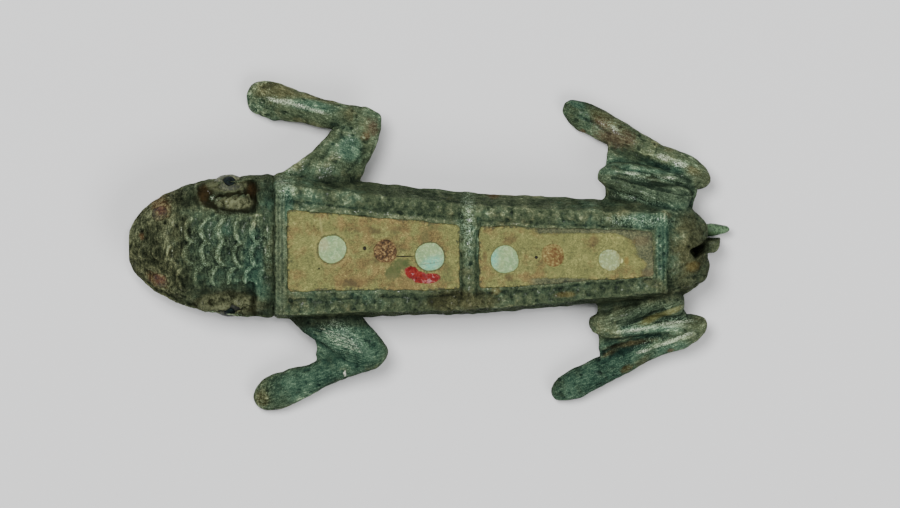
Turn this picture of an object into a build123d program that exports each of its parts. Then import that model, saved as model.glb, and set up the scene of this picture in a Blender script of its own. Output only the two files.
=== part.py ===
from build123d import *
import os
from collections import namedtuple
from math import atan2, cos, radians, sin

# Frog brooch, millimetres. +X runs from the snout to the tail, +Y to the frog's right, +Z up through its back.
# The origin lies on the table under the middle of the brooch, between snout and pin point and between the front feet.

# Overall
overall_length = 50.3       # snout to pin point
front_leg_span = 28.0       # outer edge of one front foot to the other
rear_leg_span = 26.4        # twice the reach of the longer rear foot
pin_overhang = 1.7          # pin point beyond the rump
head_length = 12.1          # snout to the collar groove
collar_gap = 0.25           # groove between the head and the back
collar_depth = 0.38         # how far the neck lies inside the head's outline
band_length = 1.1           # ribbed band across the back, in front of the rump
rump_length = 3.6

# The casting isn't straight. Its centre line lies this far to the frog's right at three places.
head_side = 0.37
rib_side = -0.29
rump_side = 0.05

# Body section
rim_height = 3.5            # lower edge of the casting above the table
jaw_height = 4.5            # widest level of the head
waist_height = 5.0          # widest level of the back
head_width = 12.1
head_crown = 3.9            # crown of the head above the jaw
back_width_front = 12.35
back_width_rear = 8.0
back_height_front = 8.9     # top face above the table, at the collar
back_height_rear = 8.0      # top face above the table, at the rump
shoulder = 0.75             # how far the flank leans in on each side
shoulder_round = 0.15
tuck = 0.25                 # how far the lower edge draws in below the widest level
wall = 1.3
head_side_wall = 2.9        # the eyes are let into this
roof = 1.0                  # metal between an enamel cell and the hollow below it

# Enamel cells and panels
cell_depth = 0.9
cell_fit = 0.03             # gap round and under a panel
cell_corner = 0.25
cell_border_front = 2.75    # from the flank to the cell at its wide end
cell_border_rear = 2.2      # the same at its narrow end
front_lip = 1.1             # metal ahead of the front cell
rib_width = 1.7             # metal between the two cells
rear_lip = 0.15             # metal between the rear cell and the ribbed band
front_cell_length = 14.2
panel_proud = 0.04

# Enamel spots
spot_radius = 1.17          # the other spots are shares of this
spot_depth = 0.45
spot_fit = 0.02
spot_proud = 0.03

# Relief on the back
bead_count = 28             # on each side of the back
bead_radius = 0.42          # footprint
bead_height = 0.26
bead_root = 0.1
bead_inset = 1.25           # flank to bead centres
border_groove_inset = 1.95  # flank to the groove inside the beads
groove_width = 0.22
groove_depth = 0.2
rib_crest_width = 1.15
rib_crest_height = 0.42
rib_crest_inset = 0.95      # flank to the end of the crest
rib_notch_radius = 0.24
rib_notch_pitch = 0.95
band_rib_count = 3
band_rib_width = 0.24
band_rib_height = 0.15
band_rib_pitch = 0.33
band_rib_inset = 1.0        # flank to the end of a rib

# Crescent scales on the head
scale_radius = 1.25
scale_half_span = 1.02      # half the chord from horn to horn
scale_shift = 0.38          # gives each crescent its width
scale_height = 0.24
scale_pitch = 1.38          # along the head
small_scale = 0.6           # size of the small crescents as a share of the others
small_scale_pitch = 1.15

# Eyes and nostrils
eye_half_length = 1.6
eye_radius = 1.2
eye_fit = 0.03
eye_from_collar = 3.55      # along the axis, from the end of the head
eye_outset = 4.75           # centre of the eye from the frog's axis
eye_lift = 0.35             # centre of the eye above the jaw
gaze = 42.0                 # degrees between the line of sight and straight up
pupil_radius = 0.46
pupil_depth = 0.45
pupil_fit = 0.02
pupil_proud = 0.02
socket_length = 5.3
socket_width = 3.4
socket_depth = 0.7
socket_tilt = 42.0          # degrees between the socket's axis and straight up
socket_outset = 4.4
socket_from_collar = 1.35   # rear wall of the socket from the end of the head
nostril_radius = 0.66
nostril_depth = 0.45
nostril_fit = 0.02
nostril_from_snout = 2.75
nostril_outset = 2.8
nostril_tilt = 38.0         # degrees between the nostril's axis and straight up

# Pin, lugs and catch
pin_radius = 0.55
pin_height = 1.85           # pin axis above the table
pin_point_side = 1.45       # the point lies this far to the frog's right
pin_taper = 2.1             # length of the point
hinge_from_snout = 11.1
hinge_radius = 1.05         # round head of the pin
trunnion_radius = 0.5
trunnion_fit = 0.04
trunnion_short = 0.1        # the cross-bar ends this far inside each lug's outer face
lug_spacing = 2.2           # between the lugs
lug_side_fit = 0.08
lug_thickness = 1.0
lug_rim = 0.8               # metal round the cross-bar
catch_length = 5.8
catch_overhang = 0.9        # catch beyond the rump
catch_thickness = 1.0
catch_fit = 0.05
catch_floor = 0.65          # metal under the pin
catch_lip_thickness = 0.6
catch_lip_height = 0.7      # lip above the catch's floor
catch_lip_short = 1.5       # lip and floor end this far ahead of the rump
catch_end_round = 0.7
bite = 0.5                  # how deep one part of the casting roots in another

# Legs
hip_height = 4.9
front_hip_from_collar = 3.5
rear_hip_from_rump = 2.5
front_stretch = 8.55        # knee to toe along the frog
rear_stretch = 9.67         # hip to the toe of the longer rear leg along the frog
thigh_half_width = 2.1
thigh_half_height = 1.4
forearm_half_width = 1.53
forearm_half_height = 1.3
ham_half_width = 0.95
ham_half_height = 1.3
shank_half_width = 0.98
shank_half_height = 1.2
foot_half_width = 1.2
foot_half_height = 1.2
sole_cut = 0.12             # taken off a foot where it stands
web_thickness = 0.8
shoulder_web_thickness = 1.5

# Places along X, and slopes, that follow from the sizes
snout_x = -overall_length / 2
pin_point_x = overall_length / 2
rump_x = pin_point_x - pin_overhang
head_end_x = snout_x + head_length
back_front_x = head_end_x + collar_gap
back_end_x = rump_x - rump_length
band_x = back_end_x - band_length
back_length = back_end_x - back_front_x
head_half = head_width / 2
hinge_x = snout_x + hinge_from_snout
front_cell_x = back_front_x + front_lip
rib_x = front_cell_x + front_cell_length
rib_middle_x = rib_x + rib_width / 2
rear_cell_x = rib_x + rib_width
rear_cell_end_x = band_x - rear_lip
hollow_end_x = rump_x + catch_overhang - catch_length - wall
deck_slope = atan2(back_height_front - back_height_rear, back_length)


def side(x):
    """Where the centre line of the casting lies across the frog, at a place along it."""
    if x < back_front_x:
        return head_side
    if x < rib_middle_x:
        return head_side + (rib_side - head_side) * (x - back_front_x) / (rib_middle_x - back_front_x)
    return rib_side + (rump_side - rib_side) * (x - rib_middle_x) / (rump_x - rib_middle_x)


def back_half(x):
    """Half the width of the back at its widest level."""
    return (back_width_front + (back_width_rear - back_width_front) * (x - back_front_x) / back_length) / 2


def deck_height(x):
    """Height of the flat top face above the table."""
    return back_height_front + (back_height_rear - back_height_front) * (x - back_front_x) / back_length


def deck_point(x, y):
    """A place on the sloping top face, in the coordinates of the deck's plane."""
    return ((x - back_front_x) / cos(deck_slope), y)


# The flat top of the back, with its x axis down the slope towards the tail
deck = Plane(origin=(back_front_x, 0, back_height_front), x_dir=(cos(deck_slope), 0, -sin(deck_slope)),
             z_dir=(sin(deck_slope), 0, cos(deck_slope)))

# The head and the rump are lofted through sections. Each row gives shares of the lengths and of the full section.
Station = namedtuple("Station", "along half_width height squareness")
HEAD = [
    Station(0.012, 0.19, 0.26, 2.0),
    Station(0.05, 0.36, 0.40, 2.0),
    Station(0.13, 0.53, 0.56, 2.0),
    Station(0.27, 0.715, 0.74, 2.1),
    Station(0.47, 0.865, 0.89, 2.2),
    Station(0.72, 0.95, 0.97, 2.35),
    Station(1.00, 0.975, 1.00, 2.5),
]
HEAD_HOLLOW = [
    Station(0.27, 0.73, 0.74, 2.0),
    Station(0.47, 0.87, 0.89, 2.0),
    Station(0.72, 0.955, 0.97, 2.0),
    Station(0.95, 1.00, 1.00, 2.0),
]
RUMP = [
    Station(0.00, 1.00, 1.00, 2.6),
    Station(0.35, 0.95, 0.95, 2.4),
    Station(0.62, 0.82, 0.82, 2.2),
    Station(0.82, 0.62, 0.60, 2.0),
    Station(0.93, 0.38, 0.36, 2.0),
]
# Places round the top of a section, as shares of its half width
ROUND = [1.0, 0.97, 0.86, 0.66, 0.36, 0.0, -0.36, -0.66, -0.86, -0.97, -1.0]


def dome_section(x, y, half, crown, level, drop, squareness):
    """A section across the frog: a rounded crown over sides that draw in below their widest level."""
    with BuildSketch(Plane(origin=(x, y, level), x_dir=(0, 1, 0), z_dir=(1, 0, 0))) as section:
        with BuildLine():
            Spline(*[(half * share, crown * (1 - abs(share) ** squareness) ** (1 / squareness)) for share in ROUND],
                   tangents=[(0, 1), (0, -1)])
            Polyline((-half, 0), (-half + tuck, -drop), (half - tuck, -drop), (half, 0))
        make_face()
    return section.sketch


def head_half_at(share):
    """Half the width of the head at a share of its length, between the two nearest stations."""
    for near, far in zip(HEAD, HEAD[1:]):
        if share <= far.along:
            part = (share - near.along) / (far.along - near.along)
            return head_half * (near.half_width + (far.half_width - near.half_width) * part)
    return head_half


def head_top_at(share, out):
    """Height of the head's surface at a share of its length and a distance from its middle."""
    for near, far in zip(HEAD, HEAD[1:]):
        if share <= far.along:
            part = (share - near.along) / (far.along - near.along)
            crown = head_crown * (near.height + (far.height - near.height) * part)
            bend = near.squareness + (far.squareness - near.squareness) * part
            return jaw_height + crown * (1 - min(out / head_half_at(share), 1) ** bend) ** (1 / bend)
    return jaw_height


# The head, and the same form grown outwards by the height of its relief
with BuildPart() as head:
    loft([dome_section(snout_x + head_length * row.along, head_side, head_half * row.half_width,
                       head_crown * row.height, jaw_height, (jaw_height - rim_height) * min(1, 2 * row.height),
                       row.squareness) for row in HEAD])

with BuildPart() as head_grown:
    loft([dome_section(snout_x + head_length * row.along, head_side, head_half * row.half_width + scale_height,
                       head_crown * row.height + scale_height, jaw_height, (jaw_height - rim_height) * row.height,
                       row.squareness) for row in HEAD])

# Crescent scales, in three rows, with small ones ahead of the middle row
Row = namedtuple("Row", "aside lag count small")
SCALE_ROWS = [
    Row(1.55, 0.50, 6, 0),
    Row(-0.40, 0.55, 6, 3),
    Row(-2.50, 1.05, 6, 0),
]
with BuildPart() as crescents:
    with BuildSketch(Plane.XY.offset(jaw_height + bite)):
        for row in SCALE_ROWS:
            for number in range(row.count + row.small):
                size = 1.0 if number < row.count else small_scale
                back = row.lag + scale_pitch * min(number, row.count) + small_scale_pitch * max(number - row.count, 0)
                middle = (head_end_x - back + scale_radius * size, head_side + row.aside)
                with BuildSketch(mode=Mode.PRIVATE) as one:
                    with Locations(middle):
                        Circle(scale_radius * size)
                        Rectangle(4 * scale_radius, 2 * scale_half_span * size, mode=Mode.INTERSECT)
                    with Locations((middle[0] + scale_shift * size, middle[1])):
                        Circle(scale_radius * size, mode=Mode.SUBTRACT)
                add(one.sketch)
    extrude(amount=head_crown)
    add(head_grown.part, mode=Mode.INTERSECT)

# The back: straight runs from the collar to the rib and from the rib to the rump
with BuildPart() as back:
    for place in (back_front_x, rib_middle_x, back_end_x):
        half = back_half(place)
        with BuildSketch(Plane(origin=(place, side(place), 0), x_dir=(0, 1, 0), z_dir=(1, 0, 0))):
            with BuildLine():
                Polyline((half - tuck, rim_height), (half, waist_height), (half - shoulder, deck_height(place)),
                         (shoulder - half, deck_height(place)), (-half, waist_height), (tuck - half, rim_height),
                         close=True)
            make_face()
    loft(ruled=True)
    long_edges = back.edges().filter_by(lambda edge: edge.length > back_length / 3)
    fillet(long_edges.sort_by(Axis.Z)[-4:], shoulder_round)

# The neck, behind the collar groove
with BuildPart() as neck:
    loft([dome_section(place, head_side, head_half * HEAD[-1].half_width - collar_depth, head_crown - collar_depth,
                       jaw_height, jaw_height - rim_height, HEAD[-1].squareness)
          for place in (head_end_x - bite, back_front_x + bite)])

# The rump, with its two end lobes and the cleft between them
with BuildPart() as rump:
    loft([dome_section(back_end_x + rump_length * row.along, rump_side, back_width_rear / 2 * row.half_width,
                       (back_height_rear - waist_height) * row.height, waist_height,
                       (waist_height - rim_height) * min(1, 1.6 * row.height), row.squareness) for row in RUMP])

lobe_radius = 0.4 * rump_length
with BuildPart() as lobes:
    with Locations((rump_x - 1.19 * lobe_radius, rump_side + 1.12 * lobe_radius, waist_height + 0.45),
                   (rump_x - lobe_radius, rump_side - 1.02 * lobe_radius, waist_height + 0.45)):
        Sphere(lobe_radius)
    split(bisect_by=Plane.XY.offset(rim_height), keep=Keep.TOP)

cleft_radius = 0.3 * lobe_radius
with BuildPart() as cleft:
    with BuildSketch(Plane(origin=(rump_x, rump_side + 0.45 * lobe_radius, waist_height + 1.2 * lobe_radius),
                           x_dir=(0, 0, 1), z_dir=(1, 0.55, 0.1))):
        SlotCenterToCenter(3 * lobe_radius, 2 * cleft_radius)
    extrude(amount=1.25 * lobe_radius, both=True)

# Beads along both edges of the back
ball_radius = (bead_radius ** 2 + bead_height ** 2) / (2 * bead_height)
bead_pitch = (band_x - front_cell_x) / bead_count
bead_places = [front_cell_x + bead_pitch * (number + 0.5) for number in range(bead_count)]
with BuildPart() as bead:
    with Locations((0, 0, bead_height - ball_radius)):
        Sphere(ball_radius)
    split(bisect_by=Plane.XY.offset(-bead_root), keep=Keep.TOP)
with BuildPart() as beads:
    with Locations([deck.location * Pos(*deck_point(x, side(x) + hand * (back_half(x) - bead_inset)))
                    for x in bead_places for hand in (1, -1)]):
        add(bead.part)


def bar_across(x, width, height, inset):
    """A half-round bar across the flat top of the back, rooted in it."""
    with BuildPart() as bar:
        with BuildSketch(Plane(origin=(x, side(x), deck_height(x)), x_dir=deck.x_dir, z_dir=(0, -1, 0))):
            Ellipse(width / 2, height)
        extrude(amount=back_half(x) - inset, both=True)
    return bar.part


# The notched crest between the cells
rib_crest = bar_across(rib_middle_x, rib_crest_width, rib_crest_height, rib_crest_inset)
notch_count = int(2 * (back_half(rib_middle_x) - rib_crest_inset) / rib_notch_pitch)
with BuildPart() as crest:
    add(rib_crest)
    with Locations([Location((rib_middle_x, side(rib_middle_x) + rib_notch_pitch * (number - (notch_count - 1) / 2),
                              deck_height(rib_middle_x) + rib_crest_height + rib_notch_radius / 2), (0, 90, 0))
                    for number in range(notch_count)]):
        Cylinder(rib_notch_radius, 2 * rib_crest_width, mode=Mode.SUBTRACT)

# Fine ribs across the back, on the lip behind the collar and on the band ahead of the rump
lip_start = back_front_x + 0.6 * band_rib_width
band_start = band_x + (band_length - band_rib_pitch * (band_rib_count - 1)) / 2
fine_ribs = [bar_across(start + band_rib_pitch * number, band_rib_width, band_rib_height, band_rib_inset)
             for start in (lip_start, band_start) for number in range(band_rib_count)]


def cell_half(x):
    """Half the width of an enamel cell."""
    share = (x - front_cell_x) / (rear_cell_end_x - front_cell_x)
    return back_half(x) - cell_border_front - (cell_border_rear - cell_border_front) * share


def cell_block(start, end, gap, bottom, top):
    """A tapered block that follows an enamel cell, drawn in by a gap, between two levels from the deck."""
    with BuildPart() as block:
        with BuildSketch(deck.offset(bottom)) as outline:
            with BuildLine():
                Polyline(deck_point(start + gap, side(start) + cell_half(start) - gap),
                         deck_point(end - gap, side(end) + cell_half(end) - gap),
                         deck_point(end - gap, side(end) - cell_half(end) + gap),
                         deck_point(start + gap, side(start) - cell_half(start) + gap), close=True)
            make_face()
            fillet(outline.vertices(), cell_corner)
        extrude(amount=top - bottom)
    return block.part


# Grooves between the beads and the cells, one run each side of the rib
with BuildPart() as border_grooves:
    for start, end in ((front_cell_x, rib_x), (rear_cell_x, rear_cell_end_x)):
        for hand in (1, -1):
            near = side(start) + hand * (back_half(start) - border_groove_inset)
            far = side(end) + hand * (back_half(end) - border_groove_inset)
            with BuildSketch(deck.offset(-groove_depth)):
                with BuildLine():
                    Polyline(deck_point(start, near + groove_width / 2), deck_point(end, far + groove_width / 2),
                             deck_point(end, far - groove_width / 2), deck_point(start, near - groove_width / 2),
                             close=True)
                make_face()
            extrude(amount=2 * groove_depth)

# The hollow under the back and the one under the head
with BuildPart() as back_hollow:
    for place in (back_front_x + wall, rib_middle_x, hollow_end_x):
        half = back_half(place) - wall
        top = deck_height(place) - cell_depth - roof
        with BuildSketch(Plane(origin=(place, side(place), 0), x_dir=(0, 1, 0), z_dir=(1, 0, 0))):
            with BuildLine():
                Polyline((half - tuck, 0), (half, waist_height), (half - shoulder, top), (shoulder - half, top),
                         (-half, waist_height), (tuck - half, 0), close=True)
            make_face()
    loft(ruled=True)

with BuildPart() as head_hollow:
    loft([dome_section(snout_x + head_length * row.along, head_side, head_half * row.half_width - head_side_wall,
                       head_crown * row.height - wall, jaw_height, jaw_height, row.squareness)
          for row in HEAD_HOLLOW])

# Eye sockets, pointed towards the snout, with a straight rear wall
socket_end_x = head_end_x - socket_from_collar
eye_x = head_end_x - eye_from_collar
socket_share = (socket_end_x - snout_x) / head_length - 0.25 * socket_length / head_length


def socket_cut(hand):
    """One eye socket."""
    lift = head_top_at(socket_share, socket_outset)
    out = Vector(0, hand * sin(radians(socket_tilt)), cos(radians(socket_tilt)))
    floor = Vector(socket_end_x, head_side + hand * socket_outset, lift) - out * socket_depth
    with BuildPart() as socket:
        with BuildSketch(Plane(origin=floor, x_dir=(1, 0, 0), z_dir=out)):
            with Locations((-0.15 * socket_length, 0)):
                Ellipse(0.85 * socket_length, socket_width / 2)
            with Locations((-socket_length / 2, 0)):
                Rectangle(socket_length, socket_width, mode=Mode.INTERSECT)
        extrude(amount=4 * socket_depth)
    return socket.part


def eye_form(hand, grow):
    """A spheroid, longer along the head, grown by a gap."""
    with BuildPart() as ball:
        Sphere(eye_radius + grow)
        scale(by=((eye_half_length + grow) / (eye_radius + grow), 1, 1))
    return ball.part.moved(Location((eye_x, head_side + hand * eye_outset, jaw_height + eye_lift)))


def pupil_plane(hand):
    """The plane on which a pupil sits in its eye."""
    out = Vector(0, hand * sin(radians(gaze)), cos(radians(gaze)))
    middle = Vector(eye_x, head_side + hand * eye_outset, jaw_height + eye_lift)
    return Plane(origin=middle + out * (eye_radius - pupil_depth), x_dir=(1, 0, 0), z_dir=out)


nostril_x = snout_x + nostril_from_snout


def nostril_plane(hand):
    """The plane of a nostril's floor."""
    out = Vector(-0.45 * sin(radians(nostril_tilt)), hand * sin(radians(nostril_tilt)), cos(radians(nostril_tilt)))
    out = out.normalized()
    top = Vector(nostril_x, head_side + hand * nostril_outset,
                 head_top_at(nostril_from_snout / head_length, nostril_outset))
    return Plane(origin=top - out * nostril_depth, x_dir=(1, 0, 0.1), z_dir=out)


# Where the legs bend. Along is a share of the leg's stretch, counted from the hip towards the tail, reach a share of
# the way from the flank to the furthest toe, and height a share of the way from the foot's axis up to the hip.
Bend = namedtuple("Bend", "along reach height")
FrontLeg = namedtuple("FrontLeg", "hand hip knee toe bulk")
FRONT_LEGS = [
    FrontLeg(1, Bend(0.0, -0.19, 1.0), Bend(0.46, 0.70, 0.78), Bend(-0.525, 0.99, 0.0), 1.0),
    FrontLeg(-1, Bend(-0.05, -0.19, 1.0), Bend(0.53, 0.44, 0.78), Bend(-0.450, 1.0, 0.0), 0.9),
]
RearLeg = namedtuple("RearLeg", "hand hip knee ankle toe")
REAR_LEGS = [
    RearLeg(1, Bend(0.02, -0.06, 1.0), Bend(-0.592, 0.26, 0.87), Bend(0.142, 0.25, 0.57), Bend(-0.895, 0.90, 0.0)),
    RearLeg(-1, Bend(-0.04, -0.04, 1.0), Bend(-0.655, 0.277, 0.87), Bend(0.112, 0.33, 0.57), Bend(-0.99, 1.0, 0.0)),
]

# A limb is lofted through ellipses on the line between two bends. Along is a share of that line, the half width and
# half height are shares of the limb's own.
Slice = namedtuple("Slice", "along half_width half_height")
THIGH = [Slice(-0.10, 1.10, 1.15), Slice(0.20, 1.12, 1.12), Slice(0.50, 1.06, 1.05), Slice(0.75, 0.94, 0.98),
         Slice(0.97, 0.78, 0.90), Slice(1.11, 0.56, 0.68), Slice(1.18, 0.27, 0.32)]
FOREARM = [Slice(-0.14, 0.22, 0.25), Slice(-0.09, 0.58, 0.62), Slice(0.03, 0.80, 0.90), Slice(0.30, 0.77, 0.90),
           Slice(0.60, 0.85, 0.95), Slice(0.85, 0.97, 1.00), Slice(1.00, 0.98, 1.00), Slice(1.09, 0.80, 0.82),
           Slice(1.145, 0.48, 0.50), Slice(1.165, 0.20, 0.22)]
HAM = [Slice(-0.06, 0.95, 1.00), Slice(0.40, 0.98, 1.00), Slice(0.85, 0.98, 1.00), Slice(1.05, 0.88, 0.90),
       Slice(1.15, 0.55, 0.60), Slice(1.19, 0.25, 0.28)]
SHANK = [Slice(-0.17, 0.25, 0.28), Slice(-0.12, 0.70, 0.75), Slice(0.02, 1.15, 1.05), Slice(0.35, 0.98, 1.00),
         Slice(0.70, 0.92, 1.00), Slice(1.00, 1.02, 1.00), Slice(1.10, 0.70, 0.75), Slice(1.14, 0.30, 0.35)]
FOOT = [Slice(-0.10, 0.22, 0.25), Slice(-0.075, 0.55, 0.60), Slice(0.00, 0.98, 0.98), Slice(0.30, 0.86, 1.00),
        Slice(0.60, 0.94, 1.00), Slice(0.82, 1.03, 1.00), Slice(0.97, 0.95, 0.98), Slice(1.05, 0.72, 0.76),
        Slice(1.09, 0.42, 0.45), Slice(1.102, 0.18, 0.20)]


def limb(start, end, slices, half_width, half_height):
    """A tapered limb between two points, with whatever lies below the table taken off."""
    run = end - start
    across = Vector(-run.Y, run.X, 0)
    with BuildPart() as bar:
        for cut in slices:
            with BuildSketch(Plane(origin=start + run * cut.along, x_dir=across, z_dir=run)):
                Ellipse(half_width * cut.half_width, half_height * cut.half_height)
        loft()
        if end.Z < half_height:
            split(bisect_by=Plane.XY, keep=Keep.TOP)
    return bar.part


def web(first, second, third, thickness):
    """A flat web of metal across three points."""
    plane = Plane(origin=first, x_dir=second - first, z_dir=(second - first).cross(third - first))
    corners = [plane.to_local_coords(point) for point in (first, second, third)]
    with BuildPart() as sheet:
        with BuildSketch(plane):
            with BuildLine():
                Polyline(*[(corner.X, corner.Y) for corner in corners], close=True)
            make_face()
        extrude(amount=thickness / 2, both=True)
    return sheet.part


def bend_point(root_x, hand, bend, stretch, flank, furthest, low):
    """Where a leg bends, in the part's own frame."""
    return Vector(root_x + stretch * bend.along, hand * (flank + (furthest - flank) * bend.reach),
                  low + (hip_height - low) * bend.height)


legs = []
front_hip_x = back_front_x + front_hip_from_collar
front_low = forearm_half_height - sole_cut
for leg in FRONT_LEGS:
    flank = back_half(front_hip_x)
    furthest = front_leg_span / 2 - forearm_half_width
    hip, knee, toe = [bend_point(front_hip_x, leg.hand, bend, front_stretch, flank, furthest, front_low)
                      for bend in (leg.hip, leg.knee, leg.toe)]
    legs.append(limb(hip, knee, THIGH, thigh_half_width * leg.bulk, thigh_half_height))
    legs.append(limb(knee, toe, FOREARM, forearm_half_width * (1 + leg.bulk) / 2, forearm_half_height))
    run = knee - hip
    front_edge = Vector(-leg.hand * run.Y, leg.hand * run.X, 0).normalized() * thigh_half_width
    if leg.hand > 0:
        collar_corner = Vector(back_front_x, side(back_front_x) + back_half(back_front_x) - bite, hip_height)
        legs.append(web(collar_corner, hip, hip + run * 0.45 + front_edge, shoulder_web_thickness))
    else:
        reach = toe - knee
        inner_edge = Vector(reach.Y, -reach.X, 0).normalized() * forearm_half_width
        legs.append(web(knee, hip + run * 0.32 + front_edge, knee + reach * 0.48 + inner_edge * 0.78, web_thickness))

rear_hip_x = rump_x - rear_hip_from_rump
rear_low = foot_half_height - sole_cut
for leg in REAR_LEGS:
    flank = back_width_rear / 2
    furthest = rear_leg_span / 2 - foot_half_width
    hip, knee, ankle, toe = [bend_point(rear_hip_x, leg.hand, bend, rear_stretch, flank, furthest, rear_low)
                             for bend in (leg.hip, leg.knee, leg.ankle, leg.toe)]
    legs.append(limb(hip, knee, HAM, ham_half_width, ham_half_height))
    legs.append(limb(knee, ankle, SHANK, shank_half_width, shank_half_height))
    legs.append(limb(ankle, toe, FOOT, foot_half_width, foot_half_height))
    knee_tip = knee - Vector(shank_half_width * 0.6, 0, 0)
    fore_flank = Vector(knee_tip.X, side(knee.X) + leg.hand * (back_half(knee.X) - bite), hip_height - bite)
    rump_corner = Vector(hip.X + bite, rump_side + leg.hand * (flank - 2 * bite), hip_height - bite)
    legs.append(web(fore_flank, knee_tip, hip, web_thickness))
    legs.append(web(hip, knee, ankle, web_thickness))
    if leg.hand > 0:
        legs.append(web(hip, ankle, rump_corner, web_thickness))
    legs.append(web(knee_tip, ankle, ankle + (toe - ankle) * 0.72, web_thickness))

# The pin's line runs from the hinge to the point
hinge_point = Vector(hinge_x, head_side, pin_height)
pin_point = Vector(pin_point_x, pin_point_side, pin_height)
pin_run = pin_point - hinge_point
pin_line = Plane(origin=hinge_point, x_dir=pin_run, z_dir=(0, 0, 1))


def pin_side_at(x):
    """Where the pin's axis lies across the frog."""
    return hinge_point.Y + (pin_point.Y - hinge_point.Y) * (x - hinge_x) / (pin_point_x - hinge_x)


# The lugs hang from the roof of the head's hollow
lug_radius = trunnion_radius + trunnion_fit + lug_rim
lug_top = jaw_height + head_crown - wall + bite / 2
with BuildPart() as lugs:
    for start in (lug_spacing / 2, -lug_spacing / 2 - lug_thickness):
        with BuildSketch(Plane(origin=(hinge_x, head_side + start, pin_height), x_dir=(1, 0, 0), z_dir=(0, -1, 0))):
            Circle(lug_radius)
            with Locations((0, (lug_top - pin_height) / 2)):
                Rectangle(2 * lug_radius, lug_top - pin_height)
            Circle(trunnion_radius + trunnion_fit, mode=Mode.SUBTRACT)
        extrude(amount=-lug_thickness)

# The catch hangs from the rump, beside the pin and under it
catch_start = rump_x + catch_overhang - catch_length
catch_end = rump_x + catch_overhang
catch_inner = pin_side_at(catch_start) - pin_radius - catch_fit
catch_under = pin_height - pin_radius - catch_fit
catch_lip_start = pin_side_at(rump_x) + pin_radius + catch_fit
with BuildPart() as catch:
    with BuildSketch(Plane.XY.offset(catch_under - catch_floor)):
        with Locations(((catch_start + catch_end) / 2, catch_inner - catch_thickness / 2)):
            Rectangle(catch_length, catch_thickness)
        fillet(vertices().sort_by(Axis.Y)[:2].sort_by(Axis.X)[-1:], catch_end_round)
    extrude(amount=rim_height + bite - catch_under + catch_floor)
    lip_end = rump_x - catch_lip_short
    with BuildSketch(Plane.XY.offset(catch_under - catch_floor)):
        with Locations(((catch_start + lip_end) / 2, (catch_inner - bite + catch_lip_start + catch_lip_thickness) / 2)):
            Rectangle(lip_end - catch_start, catch_lip_start + catch_lip_thickness - catch_inner + bite)
    extrude(amount=catch_floor)
    with BuildSketch(Plane.XY.offset(catch_under - bite / 2)):
        with Locations(((catch_start + lip_end) / 2, catch_lip_start + catch_lip_thickness / 2)):
            Rectangle(lip_end - catch_start, catch_lip_thickness)
    extrude(amount=catch_lip_height + bite / 2)

# The casting
with BuildPart() as body:
    add(back.part)
    add(neck.part)
    add(head.part)
    add(rump.part)
    add(lobes.part)
    add(legs)
    add(cleft.part, mode=Mode.SUBTRACT)
    add(crescents.part)
    add(beads.part)
    add(crest.part)
    add(fine_ribs)
    add(border_grooves.part, mode=Mode.SUBTRACT)
    add(cell_block(front_cell_x, rib_x, 0, -cell_depth, cell_depth), mode=Mode.SUBTRACT)
    add(cell_block(rear_cell_x, rear_cell_end_x, 0, -cell_depth, cell_depth), mode=Mode.SUBTRACT)
    add(back_hollow.part, mode=Mode.SUBTRACT)
    add(head_hollow.part, mode=Mode.SUBTRACT)
    for hand in (1, -1):
        add(socket_cut(hand), mode=Mode.SUBTRACT)
        add(eye_form(hand, eye_fit), mode=Mode.SUBTRACT)
        with BuildSketch(nostril_plane(hand).offset(-nostril_fit)):
            Circle(nostril_radius + nostril_fit)
        extrude(amount=3 * nostril_depth, mode=Mode.SUBTRACT)
    add(lugs.part)
    add(catch.part)

# The enamel panels, with a pocket for each round spot
Spot = namedtuple("Spot", "name along aside size")
FRONT_SPOTS = [
    Spot("spot_front_1", 0.256, 0.08, 1.00),
    Spot("spot_front_2", 0.567, 0.09, 0.82),
    Spot("spot_front_3", 0.831, -0.02, 1.03),
]
REAR_SPOTS = [
    Spot("spot_rear_1", 0.147, -0.08, 1.00),
    Spot("spot_rear_2", 0.425, 0.01, 0.80),
    Spot("spot_rear_3", 0.750, -0.20, 0.79),
]


def spot_place(spot, start, end):
    """The middle of a spot, on the deck."""
    x = start + (end - start) * spot.along
    return deck_point(x, side(x) + spot.aside * cell_half(x))


pieces = []
for label, start, end, spots in (("enamel_front", front_cell_x, rib_x, FRONT_SPOTS),
                                 ("enamel_rear", rear_cell_x, rear_cell_end_x, REAR_SPOTS)):
    with BuildPart() as panel:
        add(cell_block(start, end, cell_fit, cell_fit - cell_depth, panel_proud))
        for spot in spots:
            with BuildSketch(deck.offset(panel_proud - spot_depth)):
                with Locations(spot_place(spot, start, end)):
                    Circle(spot_radius * spot.size + spot_fit)
            extrude(amount=2 * spot_depth, mode=Mode.SUBTRACT)
    panel.part.label = label
    pieces.append(panel.part)
    for spot in spots:
        with BuildPart() as inlay:
            with BuildSketch(deck.offset(panel_proud - spot_depth + spot_fit)):
                with Locations(spot_place(spot, start, end)):
                    Circle(spot_radius * spot.size)
            extrude(amount=spot_depth - spot_fit + spot_proud)
        inlay.part.label = spot.name
        pieces.append(inlay.part)

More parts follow.
